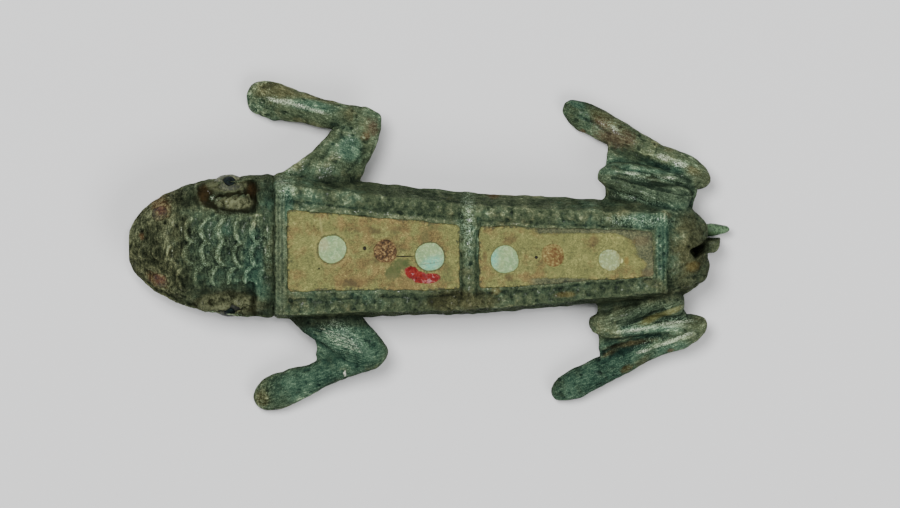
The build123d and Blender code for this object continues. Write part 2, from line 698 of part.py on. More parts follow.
# Eyes, pupils and nostrils
for word, hand in (("right", 1), ("left", -1)):
    with BuildPart() as eye:
        add(eye_form(hand, 0))
        with BuildSketch(pupil_plane(hand)):
            Circle(pupil_radius + pupil_fit)
        extrude(amount=2 * pupil_depth, mode=Mode.SUBTRACT)
    eye.part.label = "eye_" + word
    pieces.append(eye.part)
    with BuildPart() as pupil:
        with BuildSketch(pupil_plane(hand).offset(pupil_fit)):
            Circle(pupil_radius)
        extrude(amount=2 * pupil_depth)
        add(eye_form(hand, pupil_proud), mode=Mode.INTERSECT)
    pupil.part.label = "pupil_" + word
    pieces.append(pupil.part)
    with BuildPart() as nostril:
        with BuildSketch(nostril_plane(hand)):
            Circle(nostril_radius)
        extrude(amount=3 * nostril_depth)
        add(head.part, mode=Mode.INTERSECT)
    nostril.part.label = "nostril_" + word
    pieces.append(nostril.part)

# The pin: a round head on a cross-bar that runs through both lugs, and a shank that tapers to a blunt point
Taper = namedtuple("Taper", "along radius")
PIN_POINT = [Taper(0.0, 1.0), Taper(0.30, 0.96), Taper(0.57, 0.80), Taper(0.80, 0.60), Taper(0.93, 0.38),
             Taper(1.0, 0.14)]
with BuildPart() as pin:
    taper_start = pin_run.length - pin_taper
    with BuildSketch(pin_line):
        with BuildLine():
            outline = Spline(*[(taper_start + pin_taper * row.along, pin_radius * row.radius) for row in PIN_POINT])
            Polyline(outline @ 1, (pin_run.length, 0), (0, 0), (0, pin_radius), outline @ 0)
        make_face()
    revolve(axis=Axis(hinge_point, pin_run))
    with BuildSketch(Plane(origin=hinge_point, x_dir=(1, 0, 0), z_dir=(0, -1, 0))):
        Circle(hinge_radius)
    extrude(amount=lug_spacing / 2 - lug_side_fit, both=True)
    with BuildSketch(Plane(origin=hinge_point, x_dir=(1, 0, 0), z_dir=(0, -1, 0))):
        Circle(trunnion_radius)
    extrude(amount=lug_spacing / 2 + lug_thickness - trunnion_short, both=True)

body.part.label = "body"
pin.part.label = "pin"
pieces += [body.part, pin.part]
os.makedirs("parts", exist_ok=True)
for piece in pieces:
    export_step(piece, "parts/" + piece.label + ".step")
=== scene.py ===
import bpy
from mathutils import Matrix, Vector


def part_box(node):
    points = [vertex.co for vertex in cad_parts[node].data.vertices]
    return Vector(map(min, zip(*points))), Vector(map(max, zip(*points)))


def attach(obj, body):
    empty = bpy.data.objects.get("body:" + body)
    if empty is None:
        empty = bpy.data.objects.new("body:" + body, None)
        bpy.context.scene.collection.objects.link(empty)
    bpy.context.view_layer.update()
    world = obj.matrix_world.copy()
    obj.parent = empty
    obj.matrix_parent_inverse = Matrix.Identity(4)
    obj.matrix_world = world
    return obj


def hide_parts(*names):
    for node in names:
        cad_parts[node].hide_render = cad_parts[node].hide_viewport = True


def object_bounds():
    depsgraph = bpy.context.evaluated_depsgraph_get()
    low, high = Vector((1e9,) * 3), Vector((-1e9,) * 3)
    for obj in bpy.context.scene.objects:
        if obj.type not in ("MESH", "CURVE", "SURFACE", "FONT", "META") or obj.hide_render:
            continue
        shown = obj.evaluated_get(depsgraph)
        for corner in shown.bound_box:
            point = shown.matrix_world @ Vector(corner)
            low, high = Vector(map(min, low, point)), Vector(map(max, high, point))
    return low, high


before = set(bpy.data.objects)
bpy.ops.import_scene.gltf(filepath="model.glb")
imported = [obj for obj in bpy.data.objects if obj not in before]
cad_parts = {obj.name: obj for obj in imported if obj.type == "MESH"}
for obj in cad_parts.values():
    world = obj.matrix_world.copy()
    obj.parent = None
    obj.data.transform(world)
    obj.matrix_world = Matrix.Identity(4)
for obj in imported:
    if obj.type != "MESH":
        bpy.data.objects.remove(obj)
cad_box = [list(corner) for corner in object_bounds()]

from math import cos, radians, sin

import bmesh
import bpy
import numpy as np
from mathutils import Vector, noise
from mathutils.bvhtree import BVHTree

scene = bpy.context.scene


# The camera looks down on the brooch, leaning a little out over its right flank. It stands a metre away,
# so that the back and the feet of the brooch keep nearly the same scale.
lean = radians(5.5)
dots_per_mm = 12.0
picture_width = 900
camera_distance = 1.0
mm = 0.001
aim = Vector((1.75, -0.33, 5.0)) * mm

camera = bpy.data.objects.new("camera", bpy.data.cameras.new("camera"))
camera.data.sensor_width = 36.0
camera.data.lens = camera.data.sensor_width * camera_distance * 1000 * dots_per_mm / picture_width
camera.data.clip_start = 0.01
camera.data.clip_end = 20.0
camera.location = aim + camera_distance * Vector((0, sin(lean), cos(lean)))
camera.rotation_euler = (-lean, 0, 0)
scene.collection.objects.link(camera)
scene.camera = camera


# The casting: head, back, rump, four legs, hinge lugs and catch, all one piece of copper alloy. Its ornament
# is worn, and the whole skin is corroded to green and brown, with pits, crust and a few file marks left.
body_grain = 0.1
body_triangles = 194000
origin_dot = (429, 250)
origin_height = 5
back_height = 8.6


def at(across, down, height=back_height):
    """Where a dot of the 900 x 508 picture falls on the brooch at that height, in millimetres."""
    x = (across - origin_dot[0]) / dots_per_mm
    y = ((origin_dot[1] - down) / dots_per_mm + (height - origin_height) * sin(lean)) / cos(lean)
    return x, y


def settle(piece):
    """Makes what a piece's modifiers show its own mesh."""
    mesh = bpy.data.meshes.new_from_object(piece.evaluated_get(bpy.context.evaluated_depsgraph_get()))
    old = piece.data
    piece.modifiers.clear()
    piece.data = mesh
    bpy.data.meshes.remove(old)
    mesh.name = piece.name


def fine_copy(name, node, grain):
    """A closed copy of a solid in millimetres, with faces of one size all over."""
    piece = bpy.data.objects.new(name, bpy.data.meshes.new(name))
    scene.collection.objects.link(piece)
    form = bmesh.new()
    form.from_mesh(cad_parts[node].data)
    bmesh.ops.remove_doubles(form, verts=form.verts, dist=2e-6)
    bmesh.ops.scale(form, vec=(1000, 1000, 1000), verts=form.verts)
    form.to_mesh(piece.data)
    form.free()
    remesh = piece.modifiers.new("grain", "REMESH")
    remesh.mode = "VOXEL"
    remesh.voxel_size = grain
    remesh.use_smooth_shade = True
    settle(piece)
    return piece


def points_of(piece):
    """A piece's points and their outward directions, one row each."""
    count = len(piece.data.vertices)
    points = np.empty(count * 3, np.float32)
    outward = np.empty(count * 3, np.float32)
    piece.data.vertices.foreach_get("co", points)
    piece.data.vertex_normals.foreach_get("vector", outward)
    return points.reshape(-1, 3).astype(float), outward.reshape(-1, 3).astype(float)


def move_points(piece, points):
    piece.data.vertices.foreach_set("co", points.astype(np.float32).ravel())
    piece.data.update()


def lumps(points, size, layers=3, shift=0.0):
    """Soft random swellings about `size` mm across, mostly within -0.5 to 0.5, one for each point."""
    rows = (points / size + shift).tolist()
    return np.array([noise.fractal(row, 1.0, 2.0, layers) for row in rows])


def rise(values, low, high):
    """0 below the low value, 1 above the high one, and smooth between."""
    share = np.clip((values - low) / (high - low), 0, 1)
    return share * share * (3 - 2 * share)


def line(points, path, width):
    """1 on a line drawn over the surface and 0 from its width away, as seen from above."""
    nearest = np.full(len(points), np.inf)
    for start, end in zip(path, path[1:]):
        start = np.array(start)
        run = np.array(end) - start
        share = np.clip((points[:, :2] - start) @ run / (run @ run), 0, 1)
        nearest = np.minimum(nearest, np.hypot(*(points[:, :2] - start - share[:, None] * run).T))
    return 1 - rise(nearest, 0, width)


def softened(piece, passes):
    """Where a piece's points would be with its detail smoothed away."""
    soft = piece.copy()
    soft.data = piece.data.copy()
    scene.collection.objects.link(soft)
    smooth = soft.modifiers.new("smooth", "SMOOTH")
    smooth.factor = 1.0
    smooth.iterations = passes
    settle(soft)
    points = points_of(soft)[0]
    mesh = soft.data
    bpy.data.objects.remove(soft)
    bpy.data.meshes.remove(mesh)
    return points


def keep(piece, name, values):
    """Keeps a number on each point of a piece for its material to read."""
    kept = piece.data.attributes.new(name, "FLOAT", "POINT")
    kept.data.foreach_set("value", values.astype(np.float32))


drift = 0.11


def wander(points):
    """Small sideways drifts that take the ruled look off cast lines. All pieces drift alike, and so fit."""
    rows = points * (1, 1, 0.3)
    moved = points.copy()
    moved[:, 0] += drift * lumps(rows, 1.5, layers=2, shift=51.0)
    moved[:, 1] += drift * lumps(rows, 1.5, layers=2, shift=63.0)
    return moved


def gap_to(points, nodes, reach):
    """How far each point is from some of the solids, in mm, counted no further than the reach."""
    gaps = np.full(len(points), reach)
    for node in nodes:
        form = bmesh.new()
        form.from_mesh(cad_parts[node].data)
        solid = BVHTree.FromBMesh(form)
        form.free()
        for count, row in enumerate((points * mm).tolist()):
            gap = solid.find_nearest(row, reach * mm)[3]
            if gap is not None:
                gaps[count] = min(gaps[count], gap * 1000)
    return gaps


box_ease = 0.0001


def set_in_place(piece, node, material):
    """Brings a piece back to metres, eases it inside the brooch's box, and lets it stand for its solid."""
    middle = (np.array(cad_box[1]) + cad_box[0]) / 2
    inner = (np.array(cad_box[1]) - cad_box[0]) / 2 - box_ease
    off = points_of(piece)[0] * mm - middle
    over = np.maximum(np.abs(off) - inner, 0)
    eased = np.minimum(np.abs(off), inner) + box_ease * np.tanh(over / box_ease)
    move_points(piece, middle + np.sign(off) * eased)
    piece.data.materials.clear()
    piece.data.materials.append(material)
    piece.data.shade_smooth()
    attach(piece, "root")
    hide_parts(node)


# Wear: the ornament is softened in patches, but not right beside the panels and not on the sides.
most_wear = 0.75
body = fine_copy("casting", "body", body_grain)
points, outward = points_of(body)
by_panel = rise(gap_to(points, ("enamel_front", "enamel_rear"), reach=0.6), 0.15, 0.4)
wear = most_wear * rise(lumps(points, 1.9, shift=77.0), -0.35, 0.4) * by_panel
wear *= rise(points[:, 2], 5.5, 6.5) * rise(outward[:, 2], -0.2, 0.2)
worn = softened(body, passes=2)
move_points(body, worn + wear[:, None] * (softened(body, passes=16) - worn))

# The sharp notch behind the left front leg is pushed out before it is filled with the other hollows.
notch_push = 0.4
notch_path = [at(320, 356, 3.5), at(321, 361, 3.5)]
points, outward = points_of(body)
notch = line(points, notch_path, width=0.7) * rise(-outward[:, 2], -0.8, -0.5)
points += outward * (notch_push * notch)[:, None]
move_points(body, points)

# Corrosion nearly fills the groove before the collar, and on the flanks it runs over the head into the back.
head_axis = (0.37, 4.5)
groove = 272.3
from_axis = np.hypot(points[:, 1] - head_axis[0], points[:, 2] - head_axis[1])
at_flank = rise(np.abs(points[:, 1] - head_axis[0]), 4.9, 5.3)
groove_path = [at(groove, 120), at(groove, 380)]
fill = np.maximum(line(points, groove_path, width=1.1), at_flank * line(points, groove_path, width=1.5))
fill *= rise(from_axis, 3.1, 3.4) * rise(points[:, 2], 3.3, 3.7)

# It also rounds the ends of the sockets and the corners of the legs: path, height, width and share filled.
rounded_lines = [
    ([(257, 176), (258, 214)], 6.5, 0.8, 0.8),
    ([(195, 184), (197, 197), (203, 208)], 6.5, 0.5, 0.7),
    ([(203, 208), (224, 213), (254, 214)], 6.5, 0.4, 0.5),
    ([(196, 292), (230, 291), (257, 291)], 6.5, 1.0, 0.95),
    ([(257, 291), (257, 318)], 6.5, 1.2, 0.95),
    ([(320, 349), (333, 354)], 4.0, 1.0, 1.0),
    ([(318, 345), (319, 359), (326, 362)], 3.5, 0.9, 1.0),
    ([(604, 148), (601, 172), (604, 198)], 4.0, 0.8, 0.8),
    ([(598, 308), (597, 325), (602, 356)], 4.0, 0.8, 0.7),
]
for path, height, width, share in rounded_lines:
    fill = np.maximum(fill, share * line(points, [at(*dot, height) for dot in path], width))
move_points(body, points + fill[:, None] * (softened(body, passes=70) - points))

# The crescents of the head are built up a little and then rounded.
crest_swell = 0.2
relief_passes = 20
points, outward = points_of(body)
from_above = rise(outward[:, 2], 0.0, 0.5)
crest = rise(((points - softened(body, passes=relief_passes)) * outward).sum(1), 0.01, 0.08)
head_top = rise(-points[:, 0], 13.3, 13.8) * from_above
move_points(body, points + outward * (crest_swell * crest * head_top)[:, None])
worn = softened(body, passes=2)
move_points(body, worn + head_top[:, None] * (softened(body, passes=7) - worn))
points, outward = points_of(body)

# The skin swells and sinks all over, has pits on its upper side, and is lumpier on the snout.
skin_swell = 0.05
skin_roughness = 0.02
pit_depth = 0.11
snout_roughness = 0.09
swelling = skin_swell * lumps(points, 1.7) + skin_roughness * lumps(points, 0.5, shift=7.0)
pits = rise(lumps(points, 0.62, layers=2, shift=31.0), 0.36, 0.75)
amount = swelling - pit_depth * pits * rise(outward[:, 2], -0.1, 0.5)
snout = rise(-points[:, 0], 18.0, 21.0) * from_above
amount += snout_roughness * snout * lumps(points, 0.8, shift=91.0)

# Three places that stand a little higher: the tip of the snout, the flanks and the floor of the groove.
tip_rise = 0.12
flank_rise = 0.16
floor_rise = 0.14
tip_path = [at(127, 248, 5.5), at(127, 251, 5.5)]
flank_path = [at(268, 120), at(272, 120), at(272, 380), at(268, 380)]
floor_path = [at(groove, 180), at(groove, 312)]
amount += tip_rise * line(points, tip_path, width=1.2)
amount += flank_rise * at_flank * line(points, flank_path, width=0.8)
amount += floor_rise * from_above * line(points, floor_path, width=0.6)

# Crust: the lumps left in the sockets beside the eyes and on the crossbar. Path, height, width and thickness.
crust_lumps = 0.6
crust_lines = [
    ([(222, 202), (236, 202), (247, 199)], 5.0, 0.8, 0.62),
    ([(205, 302), (218, 301), (234, 302), (248, 300)], 5.0, 0.85, 0.5),
    ([(468.5, 211.5), (470, 211.5)], 9.0, 0.3, 0.12),
    ([(476, 215), (478.5, 215)], 9.0, 0.3, 0.12),
]
for path, height, width, thickness in crust_lines:
    crust = from_above * line(points, [at(*dot, height) for dot in path], width)
    amount += crust * (thickness + crust_lumps * lumps(points, 0.6, shift=15.0))

# Lines of the sockets and the legs: path, height, width and depth, where a minus stands for a ridge.
cast_lines = [
    ([(203, 190), (209, 196)], 6.5, 0.7, 0.3),
    ([(196, 186), (196, 196), (204, 207.5), (224, 212.5), (249, 214), (261, 213.5)], 7.0, 0.25, -0.09),
    ([(214, 195), (224, 196), (240, 191)], 5.6, 0.25, 0.1),
    ([(612, 150), (632, 156), (652, 163), (676, 172), (690, 181)], 4.5, 0.42, 0.13),
    ([(617, 166), (640, 171), (658, 177), (680, 185)], 4.6, 0.2, 0.1),
    ([(615, 170), (632, 173), (651, 179), (674, 184)], 4.8, 0.17, -0.08),
    ([(612, 177), (634, 181), (656, 187), (692, 194)], 4.8, 0.24, 0.13),
    ([(612, 182), (630, 187), (650, 195), (669, 202), (680, 210)], 5.0, 0.15, -0.07),
    ([(618, 194), (637, 200), (656, 206), (676, 211)], 5.0, 0.15, -0.06),
    ([(574, 112), (592, 121), (610, 133)], 1.5, 0.2, 0.08),
    ([(622, 327), (633, 322), (646, 316), (664, 308)], 4.6, 0.22, 0.14),
    ([(615, 332), (634, 329), (663, 325), (690, 325)], 4.6, 0.3, -0.08),
    ([(612, 339), (629, 338), (651, 335), (668, 333)], 4.2, 0.2, 0.1),
    ([(604, 353), (617, 346), (629, 342), (652, 337), (660, 336)], 3.6, 0.28, 0.13),
    ([(650, 348), (660, 344), (675, 339), (694, 334)], 3.4, 0.35, -0.12),
    ([(321, 344), (332, 350), (344, 357)], 4.6, 0.35, 0.12),
    ([(332, 126), (341, 126), (351, 127)], 4.4, 0.28, 0.1),
    ([(343, 134), (336, 139), (328, 149), (322, 158)], 4.8, 0.3, 0.06),
    ([(369, 147), (360, 157), (347, 171)], 4.8, 0.3, 0.07),
    ([(262, 107), (280, 110), (300, 116), (322, 122)], 2.5, 0.2, 0.03),
]

# Ten file marks across the top of the left front leg, each a groove with a ridge beside it
for step in range(10):
    mark = [(318 + step * 2.0, 327 + step * 3.1), (354 + step * 1.6, 341 + step * 2.6)]
    cast_lines.append((mark, 5.0, 0.1, 0.04))
    cast_lines.append(([(x + 0.5, y + 1.5) for x, y in mark], 5.0, 0.11, -0.06))


def cast_line_parts(points):
    """How strongly each line shows at each point, and how deep it is."""
    return [(line(points, [at(*dot, height) for dot in path], width), depth)
            for path, height, width, depth in cast_lines]


for share, depth in cast_line_parts(points):
    amount -= depth * from_above * share

move_points(body, wander(points + outward * amount[:, None]))

# The casting is thinned to what its detail needs. That can leave two faces back to back and loose, which go.
thin = body.modifiers.new("thin", "DECIMATE")
thin.ratio = min(1.0, body_triangles / (2.0 * len(body.data.polygons)))
settle(body)
form = bmesh.new()
form.from_mesh(body.data)
loose = []
for face in form.faces:
    if len({other for edge in face.edges for other in edge.link_faces}) < 3:
        loose.append(face)
bmesh.ops.delete(form, geom=loose, context="FACES")
form.to_mesh(body.data)
form.free()

# What the patina and its painted shade follow: how far a point stands out or faces up, and the lines drawn
# above.
full_ridge = 0.12
points, outward = points_of(body)
keep(body, "relief", ((points - softened(body, passes=relief_passes)) * outward).sum(1))
keep(body, "upward", outward[:, 2])
drawn_parts = [share * np.clip(-depth / full_ridge, -0.5, 1) for share, depth in cast_line_parts(points)]
keep(body, "drawn", sum(drawn_parts))


# How a surface colour comes out in the picture: the light on it, the mix of the channels, and the tone curve.
light_level = 1.1
channel_mix = np.array([(0.8425, 0.0784, 0.0792), (0.0423, 0.8785, 0.0792), (0.0424, 0.0784, 0.8791)])
darkest_stop, lightest_stop = -12.474, 4.026
tone_curve = (15.5, -40.14, 31.96, -6.868, 0.4298, 0.1191, -0.00232)
surface_limits = (0.001, 0.95)


def shade(red, green, blue):
    """The surface colour that shows in the picture as these 0 to 255 screen values."""
    stops = np.linspace(0, 1, 400)
    shown = channel_mix @ (np.array((red, green, blue)) / 255)
    stop = np.interp(shown, np.polyval(tone_curve, stops), stops)
    light = np.linalg.inv(channel_mix) @ 2 ** (stop * (lightest_stop - darkest_stop) + darkest_stop)
    return tuple(float(v) for v in np.clip(light / light_level, *surface_limits)) + (1.0,)


full_turn = 6.2832
any_height = 1000.0


class Paint:
    """A value, a colour or a place in a material, which plain arithmetic can go on with."""

    def __init__(self, tree, socket):
        self.tree = tree
        self.socket = socket

    def node(self, kind, settings, inputs, out=0):
        """Adds a node with its settings, then the values or links of its sockets."""
        made = self.tree.nodes.new(kind)
        for name, value in settings.items():
            if name == "stops":
                elements = made.color_ramp.elements
                while len(elements) < len(value):
                    elements.new(1.0)
                for element, (position, colour) in zip(elements, value):
                    element.position = position
                    element.color = colour
            else:
                setattr(made, name, value)
        for name, value in inputs.items():
            if isinstance(value, Paint):
                self.tree.links.new(value.socket, made.inputs[name])
            else:
                made.inputs[name].default_value = value
        return Paint(self.tree, made.outputs[out])

    def maths(self, operation, *values):
        return self.node("ShaderNodeMath", {"operation": operation}, dict(enumerate(values)))

    def __add__(self, other):
        return self.maths("ADD", self, other)

    def __radd__(self, other):
        return self.maths("ADD", other, self)

    def __sub__(self, other):
        return self.maths("SUBTRACT", self, other)

    def __rsub__(self, other):
        return self.maths("SUBTRACT", other, self)

    def __mul__(self, other):
        return self.maths("MULTIPLY", self, other)

    def __rmul__(self, other):
        return self.maths("MULTIPLY", other, self)

    def between(self, low, high):
        """0 at the low value, 1 at the high one, and smooth between."""
        return self.node("ShaderNodeMapRange", {"interpolation_type": "SMOOTHSTEP"},
                         {"Value": self, "From Min": low, "From Max": high})

    def most(self, other):
        return self.maths("MAXIMUM", self, other)

    def wave(self, pitch):
        """Runs between 1 and -1 and back over each pitch of this value."""
        return self.maths("COSINE", self * (full_turn / pitch))

    def tint(self, under, over):
        """The under colour where this is 0 and the over colour where it is 1."""
        return self.node("ShaderNodeMix", {"data_type": "RGBA"}, {0: self, 6: under, 7: over}, 2)

    def ramp(self, *stops):
        """A colour read off this value, from stops of a value and the screen colour shown there."""
        shades = [(position, shade(*colour)) for position, colour in stops]
        return self.node("ShaderNodeValToRGB", {"stops": shades}, {"Fac": self})

    def kept(self, name):
        """The number that keep() put on each point under this name."""
        return self.node("ShaderNodeAttribute", {"attribute_name": name}, {}, "Fac")

    def part(self, axis):
        return self.node("ShaderNodeSeparateXYZ", {}, {0: self}, axis)

    def cloud(self, scale, detail=4.0, rough=0.55, shift=0.0, long=1.0, wide=1.0, turn=0.0):
        """Noise around 0.5, `scale` to the millimetre, drawn out along a turned line and across it."""
        spot = self.node("ShaderNodeMapping", {"vector_type": "TEXTURE"},
                         {"Vector": self, "Location": (shift, shift * 0.7, shift * 1.3),
                          "Rotation": (0, 0, turn), "Scale": (long, wide, 1.0)})
        return self.node("ShaderNodeTexNoise", {},
                         {"Vector": spot, "Scale": scale, "Detail": detail, "Roughness": rough})

    def oval(self, spot, reach, turn=0.0):
        """How far out this place lies from the middle of an oval seen from above, 1 on its rim."""
        local = self.node("ShaderNodeMapping", {"vector_type": "TEXTURE"},
                          {"Vector": self, "Location": (*spot, 0.0), "Rotation": (0, 0, turn),
                           "Scale": (*reach, any_height)})
        return self.node("ShaderNodeVectorMath", {"operation": "LENGTH"}, {0: local}, "Value")

    def patch(self, dot, height, reach, turn=0.0, ragged=0.0, soft=0.25):
        """1 in an oval given by its picture dot, height and half sizes in mm, with a ragged edge."""
        return (self.oval(at(*dot, height), reach, turn) + ragged).between(1 + soft, 1 - soft)

    def patches(self, marks, ragged=0.0, soft=0.25):
        """1 in any of several such ovals, each given by its dot, height, half sizes and turn."""
        whole = self.patch(*marks[0], ragged, soft)
        for mark in marks[1:]:
            whole = whole.most(self.patch(*mark, ragged, soft))
        return whole

    def bump(self, height_mm, strength=1.0, under=None):
        """A surface direction bent by this value, which is worth so many mm."""
        inputs = {"Height": self, "Distance": height_mm * mm, "Strength": strength}
        if under is not None:
            inputs["Normal"] = under
        return self.node("ShaderNodeBump", {}, inputs)


def finish(name, **constants):
    """A new material with its fixed settings, its shader and the place on the brooch in millimetres."""
    material = bpy.data.materials.new(name)
    material.use_nodes = True
    tree = material.node_tree
    shader = tree.nodes["Principled BSDF"]
    for label, value in constants.items():
        shader.inputs[label.replace("_", " ")].default_value = value
    corner = Paint(tree, tree.nodes.new("ShaderNodeTexCoord").outputs["Object"])
    place = corner.node("ShaderNodeMapping", {"vector_type": "POINT"},
                        {"Vector": corner, "Scale": (1000.0, 1000.0, 1000.0)})
    return material, shader, place


def connect(shader, **paints):
    for label, paint in paints.items():
        paint.tree.links.new(paint.socket, shader.inputs[label.replace("_", " ")])


patina, shader, place = finish("patina", Specular_IOR_Level=0.0, Coat_Roughness=0.2, Coat_IOR=1.6)
out_of_reach = 9.0


def marked(name, marks, ragged, soft):
    """1 in some ovals seen from above, with ragged edges, and 0 outside them.

    A mark is its picture dot, its height, its half sizes in mm and its turn."""
    nearest = np.full(len(points), out_of_reach)
    for dot, level, reach, turn in marks:
        gap = points[:, :2] - at(*dot, level)
        along = gap @ (cos(turn), sin(turn)) / reach[0]
        beside = gap @ (-sin(turn), cos(turn)) / reach[1]
        nearest = np.minimum(nearest, np.hypot(along, beside))
    keep(body, name, nearest)
    return (place.kept(name) + ragged).between(1 + soft, 1 - soft)


# Where a point of the skin lies, and what its shape is like there
across = place.part(0)
aside = place.part(1)
height = place.part(2)
from_middle = aside.maths("ABSOLUTE", aside)
relief = place.kept("relief")
upward = place.kept("upward")
drawn = place.kept("drawn")

# Noise from broad to fine, and the ragged edges made of it
broad = place.cloud(0.16, 3.0, 0.5)
middle = place.cloud(0.75, 5.0, 0.62, shift=11.0)
small = place.cloud(3.4, 5.0, 0.68, shift=23.0)
tiny = place.cloud(9.0, 3.0, 0.6, shift=37.0)
speckle = place.cloud(14.0, 2.0, 0.6, shift=61.0)
rag = (small - 0.5) * 2.2 + (middle - 0.5) * 0.8
edge = (middle - 0.5) * 1.6
broken = (middle - 0.5) * 1.2

# The regions of the skin: legs, head, snout, the groove before the collar, the two bands and the flanks
legs = from_middle.between(6.3, 6.9).most(across.between(13.6, 14.2) * from_middle.between(3.7, 4.4))
on_head = across.between(-12.9, -13.4)
on_snout = (across + (middle - 0.5) * 4).between(-19.2, -21.8)
by_collar = across.between(-13.8, -13.4) * across.between(-12.4, -12.8)
front_band = across.between(-12.95, -12.8) * across.between(-11.85, -12.05) * height.between(8.2, 8.5)
rear_band = across.between(18.7, 18.9) * across.between(20.1, 19.8) * height.between(7.5, 7.9)
front_frame = across.between(-9.0, -11.0) * (1 - on_head) * (1 - front_band) * (1 - legs)
right_flank = aside.between(3.0, 4.0) * (1 - legs) * (1 - on_head)
flanks = height.between(8.1, 7.2) * from_middle.between(6.6, 6.2)
ridge = relief.between(-0.05, 0.07)
hollow = relief.between(-0.02, -0.14) * (1 - by_collar)

# Fine ribs along the two bands
rib_pitch = 0.33
front_rib = -12.656
rear_rib = 18.97
bent = across + (small - 0.5) * 0.3 + (middle - 0.5) * 0.4
ribs = (bent - front_rib).wave(rib_pitch) * front_band + (bent - rear_rib).wave(rib_pitch) * rear_band

# The grain of the skin: across the head, and along each leg
streaked = 0.65
down_streaks = place.cloud(3.4, 4.0, 0.62, shift=47.0, long=2.4, wide=0.5, turn=-0.32)
up_streaks = place.cloud(3.4, 4.0, 0.62, shift=53.0, long=2.4, wide=0.5, turn=0.36)
head_streaks = place.cloud(3.0, 4.0, 0.62, shift=43.0, long=0.5, wide=1.8)
hatched = marked("hatched", [((343, 341), 5, (2.2, 1.7), -0.3)], ragged=broken, soft=0.3)
leg_streaks = up_streaks + (down_streaks - up_streaks) * aside.between(-1.0, 1.0).most(hatched)
grain = small + (head_streaks - small) * on_head * streaked + (leg_streaks - small) * legs * streaked

# Painted shade where the light falls off: on some feet and knees, at the ends of the sockets and on stretches
# of the borders
dim = marked("dim", [
    ((577, 110), 2, (1.6, 1.6), 0.0), ((564, 388), 2, (1.2, 1.2), 0.0), ((310, 331), 5, (1.6, 1.2), 0.0),
    ((592, 374), 2, (5.2, 2.4), 0.45), ((345, 376), 2.5, (2.6, 0.8), 0.3),
    ((264, 194), 7.5, (0.9, 1.5), 0.0), ((188, 196), 7.0, (0.8, 1.6), -0.5),
], ragged=broken * 0.5, soft=0.5)
half_dim = marked("half_dim", [
    ((350, 116), 3.5, (3.0, 1.2), -0.2), ((268, 396), 2, (2.6, 1.9), 0.0),
    ((300, 381), 2.5, (2.6, 1.2), 0.35), ((374, 350), 3, (1.6, 2.4), 0.0),
    ((699, 250), 7.0, (0.9, 3.4), 0.0), ((412, 203), 8.6, (3.2, 0.8), -0.1),
    ((345, 168), 5, (2.4, 0.8), 0.2), ((290, 108), 2.5, (3.4, 0.5), -0.2),
    ((325, 372), 2.8, (2.0, 1.2), 0.35), ((616, 128), 2.8, (2.4, 1.0), -0.4),
    ((440, 298), 8.6, (3.4, 0.7), 0.0), ((634, 316), 4.8, (2.2, 0.9), 0.2),
    ((306, 326), 5.0, (1.6, 0.6), 0.0),
], ragged=broken * 0.5, soft=0.5)
# The tone's base: a little lighter on the legs and the front of the frame, with the painted shade taken off
light = 0.48 + legs * 0.045 - dim * 0.2 - half_dim * 0.1 + front_frame * 0.07
# Painted light across the back: lighter on its right side and darker on its left
light = light + (aside.between(-6.0, 6.0) * 0.1 - 0.07) * (1 - legs)

# One tone from dark to light, which all the colours of the patina are read off
contrast = 2.6 + legs * 0.2 + on_head * 0.7 + on_snout * 1.5
tone = (grain * 0.4 + tiny * 0.22 + speckle * 0.1 + middle * 0.28 - 0.5) * contrast + light + on_snout * 0.04
tone = tone + ridge * 0.24 * (1 - by_collar * 0.5) - hollow * (0.24 - legs * 0.14)
# Cast lines: their ridges are lighter, partly as painted highlight, and their grooves darker
tone = tone + ribs * 0.07 + drawn * 0.16

# The patina itself: green, with teal and brown in broad patches
green = tone.ramp((0.0, (18, 28, 22)), (0.27, (44, 58, 44)), (0.5, (74, 89, 66)),
                  (0.68, (98, 111, 84)), (0.85, (126, 134, 106)), (1.0, (172, 178, 150)))
teal = tone.ramp((0.0, (12, 26, 22)), (0.27, (34, 58, 49)), (0.5, (60, 90, 74)),
                 (0.68, (86, 114, 94)), (0.85, (114, 138, 116)), (1.0, (172, 186, 164)))
brown = tone.ramp((0.0, (22, 22, 14)), (0.27, (50, 50, 30)), (0.5, (84, 83, 54)),
                  (0.68, (108, 106, 74)), (0.85, (134, 130, 96)), (1.0, (170, 166, 134)))
teal_marks = marked("teal_marks", [
    ((590, 378), 2, (4.5, 2.2), 0.6), ((345, 345), 4, (3.2, 2.4), 0.0), ((300, 382), 3, (2.8, 1.6), 0.5),
    ((350, 146), 4, (0.9, 1.0), 0.0), ((648, 182), 5, (4.4, 1.7), -0.25),
    ((655, 318), 4.5, (3.6, 1.3), 0.3), ((287, 206), 9, (0.5, 1.4), 0.0),
    ((661, 246), 8.2, (0.55, 2.6), 0.0), ((640, 222), 8.5, (1.8, 0.7), 0.0),
    ((255, 262), 8.4, (0.8, 3.0), 0.0), ((310, 104), 2.5, (2.2, 0.5), -0.12),
    ((576, 102), 1.8, (0.8, 0.4), -0.4), ((672, 352), 3.2, (1.8, 0.8), 0.3),
], ragged=edge, soft=0.4)
brown_marks = marked("brown_marks", [
    ((276, 90), 2, (1.8, 0.7), -0.1), ((322, 98), 3, (1.8, 0.45), -0.1),
    ((606, 120), 2.5, (1.6, 0.5), -0.45), ((692, 170), 4, (0.7, 0.4), -0.4),
    ((262, 398), 1.5, (0.6, 0.7), 0.0), ((646, 360), 2.6, (1.6, 0.4), 0.45),
    ((690, 250), 7.8, (1.4, 3.0), 0.0), ((460, 300), 8.4, (3.0, 0.9), 0.0),
], ragged=edge, soft=0.5)
